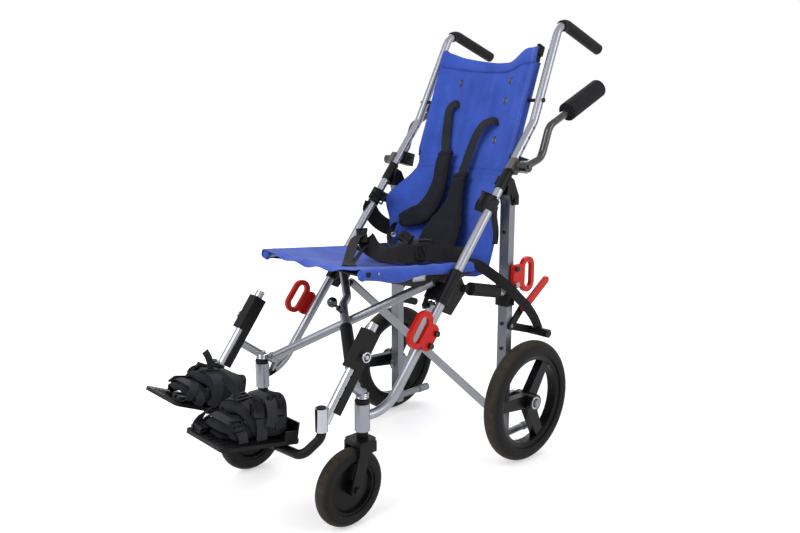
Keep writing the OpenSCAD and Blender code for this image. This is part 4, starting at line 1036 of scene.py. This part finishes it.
for name, width, points, across in (
    ("left", 0.046,
     [(0.158, 0.112, 0.544), (0.143, 0.062, 0.5525), (0.131, 0.004, 0.5595), (0.104, -0.05, 0.561),
      (0.056, -0.074, 0.558), (0.0, -0.062, 0.563), (-0.032, -0.058, 0.584)],
     [(-0.6, 0.3, 0.3), (-0.6, 0.3, 0.62), (-0.55, 0.45, 0.7), (-0.3, 0.62, 0.72), (0.1, 0.72, 0.7),
      (0.3, 0.7, 0.65), (0.75, 0.55, 0.3)]),
    ("front", 0.025,
     [(-0.038, -0.07, 0.594), (-0.03, -0.094, 0.588), (0.012, -0.142, 0.571), (0.052, -0.185, 0.557),
      (0.08, -0.212, 0.5525)],
     [(1, 0.4, 0.2), (0.9, 0.5, 0), (0.8, 0.6, 0), (0.8, 0.6, 0.1), (0.7, 0.7, 0)]),
    ("back", 0.025,
     [(-0.04, -0.07, 0.588), (-0.058, -0.066, 0.574), (-0.066, -0.052, 0.556), (-0.05, -0.028, 0.542),
      (-0.012, 0.006, 0.539)],
     [(0.7, -0.7, 0), (0.6, -0.8, 0.1), (0.6, -0.8, 0), (0.7, -0.7, 0), (0.8, -0.6, 0)]),
    ("right", 0.036,
     [(-0.156, 0.102, 0.541), (-0.112, 0.084, 0.534), (-0.062, 0.07, 0.535), (-0.02, 0.075, 0.545),
      (0.016, 0.062, 0.548), (0.05, 0.07, 0.541), (0.085, 0.096, 0.538)],
     [(-0.1, 1, 0.1), (-0.2, 1, 0.1), (0, 1, 0.3), (0.3, 0.9, 0.3), (0.2, 1, -0.2), (-0.3, 0.9, 0.2),
      (-0.5, 0.8, 0)]),
    ("crotch", 0.025,
     [(0.02, 0.128, 0.533), (0.03, 0.094, 0.55), (0.012, 0.05, 0.558), (0.04, 0.016, 0.549),
      (0.076, 0.022, 0.541), (0.104, 0.052, 0.54), (0.128, 0.09, 0.538)],
     [(1, 0.1, 0), (0.9, 0.3, 0.3), (0.8, -0.3, 0.4), (0.5, 0.8, 0.3), (-0.1, 1, 0.2), (-0.5, 0.8, 0.1),
      (-0.7, 0.7, 0)]),
    ("near", 0.044,
     [(-0.02, 0.012, 0.55), (0.028, -0.016, 0.559), (0.074, -0.004, 0.561), (0.106, 0.042, 0.561),
      (0.148, 0.118, 0.554)],
     [(0.2, 0.8, 0.5), (0.05, 0.75, 0.65), (-0.3, 0.7, 0.65), (-0.6, 0.5, 0.6), (-0.75, 0.5, 0.3)]),
    ("thin", 0.012,
     [(-0.03, -0.052, 0.572), (-0.012, -0.084, 0.564), (0.03, -0.14, 0.556), (0.075, -0.19, 0.5525),
      (0.098, -0.206, 0.5545)],
     [(0.9, 0.4, 0.1), (0.9, 0.4, 0.2), (0.8, 0.55, 0.1), (0.75, 0.65, 0.1), (0.7, 0.7, 0)]),
    ("tail", 0.02,
     [(-0.07, 0.118, 0.54), (-0.036, 0.1, 0.558), (0.0, 0.104, 0.562), (0.036, 0.116, 0.552),
      (0.066, 0.112, 0.541)],
     [(0.3, 0.9, 0.3), (0.1, 0.8, 0.6), (-0.1, 0.9, 0.4), (-0.2, 1, 0.1), (0, 1, 0)]),
):
    belt = lap_strap("lap_strap_" + name, points, across, width)
    if name == "left":
        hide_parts("lap_belt")
for name, maker, size, spot, up, ahead in (
    ("lap_buckle_standing", buckle_block, (0.03, 0.042, 0.012), (-0.037, -0.066, 0.591), (0.5, -0.55, 0.65),
     (-0.6, 0.5, 0.6)),
    ("lap_buckle_socket", buckle_block, (0.034, 0.048, 0.012), (0.056, 0.056, 0.569), (0.3, -0.4, 0.85),
     (0.8, 0.6, 0.1)),
    ("lap_buckle_prong", buckle_block, (0.03, 0.036, 0.01), (-0.012, 0.06, 0.578), (0.5, -0.6, 0.6),
     (1, -0.3, 0.2)),
    ("lap_slide_left", glide, (0.042, 0.028, 0.0045), (0.1235, -0.02, 0.564), (0.64, -0.3, 0.64),
     (0.43, 0.9, 0)),
    ("lap_slide_right", glide, (0.034, 0.026, 0.0045), (-0.052, 0.094, 0.562), (0.6, -0.65, 0.45),
     (0.6, 0.7, 0.3)),
):
    block = settle(maker(*size), name, spot, up, ahead,
                   screw_black if name == "lap_slide_right" else moulded, "slider_right")
    go_with_seat(block)


# Webbing that ties the seat and back to the frame: a long tail down past the
# left rear leg, and two cam straps round the main tubes that pull the wings in.
tail = strap(
    "seat_tail",
    [(0.15, 0.095, 0.54), (0.187, 0.104, 0.533), (0.212, 0.126, 0.511), (0.229, 0.156, 0.485),
     (0.238, 0.188, 0.458), (0.24, 0.218, 0.432), (0.24, 0.252, 0.404), (0.239, 0.286, 0.368),
     (0.237, 0.311, 0.331)],
    [(0.1, 1, 0.1), (0.2, 1, 0.3), (0.4, 0.7, 0.6), (0.4, 0.6, 0.7), (0.3, 0.65, 0.7), (0.25, 0.7, 0.7),
     (0.2, 0.7, 0.7), (0.2, 0.7, 0.7), (0.2, 0.75, 0.65)],
    width=0.027,
    finish=belt_web,
)
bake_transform(tail)
for label, hand, z, high in (("left", 1, 0.672, 0.034), ("right", -1, 0.664, 0.042)):
    body = "frame_" + label
    wrap = cut_rod(48, 0.0152, high)
    pick_faces(wrap, lambda c, n: abs(n.z) > 0.9)
    bpy.ops.mesh.inset(thickness=0.0026)
    bpy.ops.mesh.bridge_edge_loops()
    soften(wrap, 0.0008)
    settle(wrap, "tube_wrap_" + label, tube_axis(z, hand), TUBE_DIR, (1, 0, 0), webbing, body)
    cam = glide(0.044, 0.036, 0.011) if hand < 0 else buckle_block(0.042, 0.05, 0.013)
    face = Vector((0.55, -0.8, 0.2)) if hand > 0 else Vector((0.75, -0.62, 0.1))
    aside = Vector((-0.018 if hand > 0 else 0.004, 0, 0))
    spot = tube_axis(z + 0.003, hand) + face.normalized() * 0.0175 + aside
    settle(cam, "wing_buckle_" + label, spot, face, TUBE_DIR, moulded, body)
    high_on_back = up_back(z - 0.006)
    wing = back_place(hand * 0.9, high_on_back)
    pull = strap(
        "wing_strap_" + label,
        [tube_axis(z, hand) + Vector((-hand * 0.006, 0.0125, 0)), wing + Vector((hand * 0.005, 0.0045, 0)),
         back_place(hand * 0.885, high_on_back) + Vector((0, 0.0045, 0))],
        (0, 0.4, 1),
        width=0.026,
    )
    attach(pull, body)

# A broad tie runs from the right tube down behind the bucket's edge.
under_wing = strap(
    "wing_tie_right",
    [(-0.2, 0.112, 0.652), (-0.206, 0.11, 0.634), (-0.2055, 0.126, 0.608), (-0.2, 0.154, 0.584),
     (-0.188, 0.184, 0.57)],
    [(0.4, 0.7, 0.6), (0.3, 0.7, 0.7), (0.2, 0.6, 0.8), (0.1, 0.5, 0.9), (0, 0.3, 1)],
    width=0.046,
    finish=belt_web,
)
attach(under_wing, "frame_right")


# Shoe holders: padded neoprene cuffs sewn to a sole pad on each footplate, with
# a broad instep flap, webbing straps, side-release buckles and loose tails.
PLATE_TILT = math.radians(10.8)
RIGHT_TILT = math.radians(13)
PLATE_HINGE = (-0.4524, 0.205)


def on_plate(hand, x, y, z):
    """A point x out from the plate's inner edge, y back from its toe and z above it."""
    back = -0.6045 + y * math.cos(PLATE_TILT) + z * math.sin(PLATE_TILT)
    up = 0.262 - y * math.sin(PLATE_TILT) + z * math.cos(PLATE_TILT)
    if hand < 0:
        dy = back - PLATE_HINGE[0]
        dz = up - PLATE_HINGE[1]
        back = PLATE_HINGE[0] + dy * math.cos(RIGHT_TILT) + dz * math.sin(RIGHT_TILT)
        up = PLATE_HINGE[1] - dy * math.sin(RIGHT_TILT) + dz * math.cos(RIGHT_TILT)
    return Vector((hand * (0.03 + x), back, up))


for label, hand in SIDES:
    body = "footplate_" + label
    plate_up = (on_plate(hand, 0, 0, 1) - on_plate(hand, 0, 0, 0)).normalized()
    plate_back = (on_plate(hand, 0, 1, 0) - on_plate(hand, 0, 0, 0)).normalized()
    plate_out = Vector((hand, 0, 0))

    # The cuff goes round the heel, tallest behind, and leans in over the foot.
    shift = 0.0 if hand > 0 else -0.014
    round_heel = [(0.024, 0.064), (0.0215, 0.09), (0.0215, 0.12)]
    for k in range(1, 8):
        turn = math.pi * k / 8
        round_heel.append((0.07 - 0.0475 * math.cos(turn), 0.1325 + 0.044 * math.sin(turn)))
    round_heel += [(0.1185, 0.12), (0.1185, 0.09), (0.116, 0.066)]
    rise = along((0.034, 0.05, 0.062, 0.072, 0.074, 0.072, 0.062, 0.05, 0.034))
    wall = []
    for step, (x, y) in enumerate(round_heel):
        tall = rise(step / (len(round_heel) - 1))
        wall.append(on_plate(hand, x + shift, y, 0.0055 + tall / 2))
    line = smooth_path(wall, 6)
    lean = [(plate_up + (on_plate(hand, 0.07 + shift, 0.1, 0) - point) * 1.8).normalized() for point in line]
    cuff = swept("shoe_cuff_" + label, line, lean, rise,
                 along((0.012, 0.017, 0.018, 0.019, 0.018, 0.017, 0.012)), 28, neoprene)
    puff(cuff, 0.003)
    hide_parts("shoe_holder_" + label)

    # The instep flap wraps over the foot from the inner wall and lies on the outer one.
    over = [(0.012, 0.1, 0.016), (0.012, 0.098, 0.04), (0.03, 0.095, 0.056), (0.064, 0.09, 0.061),
            (0.098, 0.092, 0.058), (0.124, 0.094, 0.041), (0.13, 0.098, 0.016)]
    line = smooth_path([on_plate(hand, x + shift, y, z) for x, y, z in over], 8)
    turns = [plate_back + plate_up * 0.25] * len(line)
    flap = swept("instep_flap_" + label, line, turns, along((0.05, 0.06, 0.074, 0.084, 0.076, 0.06, 0.044)),
                 along((0.008, 0.011, 0.013, 0.014, 0.013, 0.011, 0.008)), 24, neoprene)
    puff(flap, 0.002)

    # The toe band is lower and hangs slack over the sole pad.
    over = [(0.016, 0.062, 0.005), (0.014, 0.056, 0.016), (0.04, 0.046, 0.028), (0.075, 0.043, 0.031),
            (0.106, 0.047, 0.027), (0.124, 0.056, 0.016), (0.124, 0.062, 0.005)]
    line = smooth_path([on_plate(hand, x + shift, y, z) for x, y, z in over], 8)
    band = swept("toe_band_" + label, line, [plate_back + plate_up * 0.5] * len(line),
                 along((0.034, 0.048, 0.058, 0.05, 0.034)),
                 along((0.005, 0.008, 0.009, 0.008, 0.005)), 20, neoprene)
    puff(band, 0.0015)

    # The sole pad is flat below and rounded at heel and toe.
    line = [on_plate(hand, 0.07 + shift, 0.03 + 0.15 * k / 24, 0.0042) for k in range(25)]
    sole = swept("sole_pad_" + label, line, [plate_out] * 25,
                 along((0.05, 0.078, 0.088, 0.09, 0.09, 0.09, 0.084, 0.05)), lambda t: 0.0064, 16, neoprene)
    for pad in (cuff, flap, band, sole):
        for point in pad.data.vertices:
            x, y, z = point.co
            wave = math.sin(95 * x + 60 * z) * math.sin(80 * y - 70 * z)
            wave += 0.5 * math.sin(210 * y + 130 * x) * math.sin(170 * z + 60 * y)
            point.co += plate_up * (0.0019 * wave if pad is not sole else 0.0003 * wave)
        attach(pad, body)

    # Webbing over the ankle, the instep and the toe, with loose ends past the buckles.
    webs = (
        ("ankle_strap", 0.025,
         [(0.012, 0.142, 0.022), (0.012, 0.14, 0.052), (0.03, 0.134, 0.072), (0.07, 0.126, 0.077),
          (0.11, 0.132, 0.073), (0.13, 0.138, 0.053), (0.13, 0.142, 0.022)]),
        ("instep_strap", 0.025,
         [(0.004, 0.078, 0.006), (0.003, 0.082, 0.036), (0.022, 0.084, 0.062), (0.062, 0.084, 0.071),
          (0.102, 0.086, 0.066), (0.134, 0.09, 0.046), (0.139, 0.094, 0.006)]),
        ("toe_strap", 0.02,
         [(0.004, 0.046, 0.003), (0.005, 0.046, 0.019), (0.034, 0.04, 0.0355), (0.075, 0.037, 0.0385),
          (0.11, 0.042, 0.035), (0.132, 0.05, 0.02), (0.139, 0.052, 0.004)]),
        ("instep_tail", 0.016,
         [(0.056, 0.082, 0.0745), (0.05, 0.074, 0.086), (0.046, 0.06, 0.102), (0.046, 0.046, 0.114)]),
        ("toe_tail", 0.018,
         [(0.03, 0.036, 0.046), (0.014, 0.028, 0.028), (0.012, 0.02, 0.01), (0.026, 0.014, 0.005),
          (0.05, 0.014, 0.005)]),
        ("ankle_tail", 0.022,
         [(0.1, 0.126, 0.08), (0.124, 0.116, 0.074), (0.142, 0.11, 0.054), (0.146, 0.104, 0.034)]),
    )
    for name, wide, over in webs:
        spots = [on_plate(hand, x + shift, y, z) for x, y, z in over]
        web = strap(name + "_" + label, spots, plate_back + plate_up * 0.4, width=wide, steps=8)
        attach(web, body)
    fixings = (
        ("ankle_buckle", buckle_block, (0.03, 0.044, 0.012), (0.12, 0.131, 0.068), (0.75, 0, 0.7),
         (-0.7, 0.1, 0.7)),
        ("instep_buckle", glide, (0.034, 0.03, 0.005), (0.064, 0.084, 0.0755), (0.1, -0.2, 1), (1, 0, 0)),
        ("instep_clasp", buckle_block, (0.03, 0.042, 0.011), (0.118, 0.088, 0.063), (0.7, 0, 0.72),
         (-0.72, 0.1, 0.7)),
        ("toe_slide", glide, (0.028, 0.026, 0.0045), (0.119, 0.045, 0.0335), (0.6, -0.2, 0.75),
         (0.75, 0, -0.6)),
        ("toe_clasp", buckle_block, (0.026, 0.034, 0.01), (0.032, 0.017, 0.009), (0.1, -0.1, 1), (1, 0.1, 0)),
    )
    for name, maker, size, (x, y, z), up, ahead in fixings:
        faced = plate_out * up[0] + plate_back * up[1] + plate_up * up[2]
        led = plate_out * ahead[0] + plate_back * ahead[1] + plate_up * ahead[2]
        fixing = settle(maker(*size), name + "_" + label, on_plate(hand, x + shift, y, z), faced, led,
                        moulded, body)

    # Moulded tread: four low ribs along the toe of the plate.
    for step in range(4):
        rib = cut_block((0.0026, 0.05, 0.0016))
        soften(rib, 0.0007)
        spot = on_plate(hand, 0.066 + 0.016 * step, 0.03, 0.0004)
        settle(rib, "tread_rib_%s_%d" % (label, step), spot, plate_up, plate_back, moulded, body)
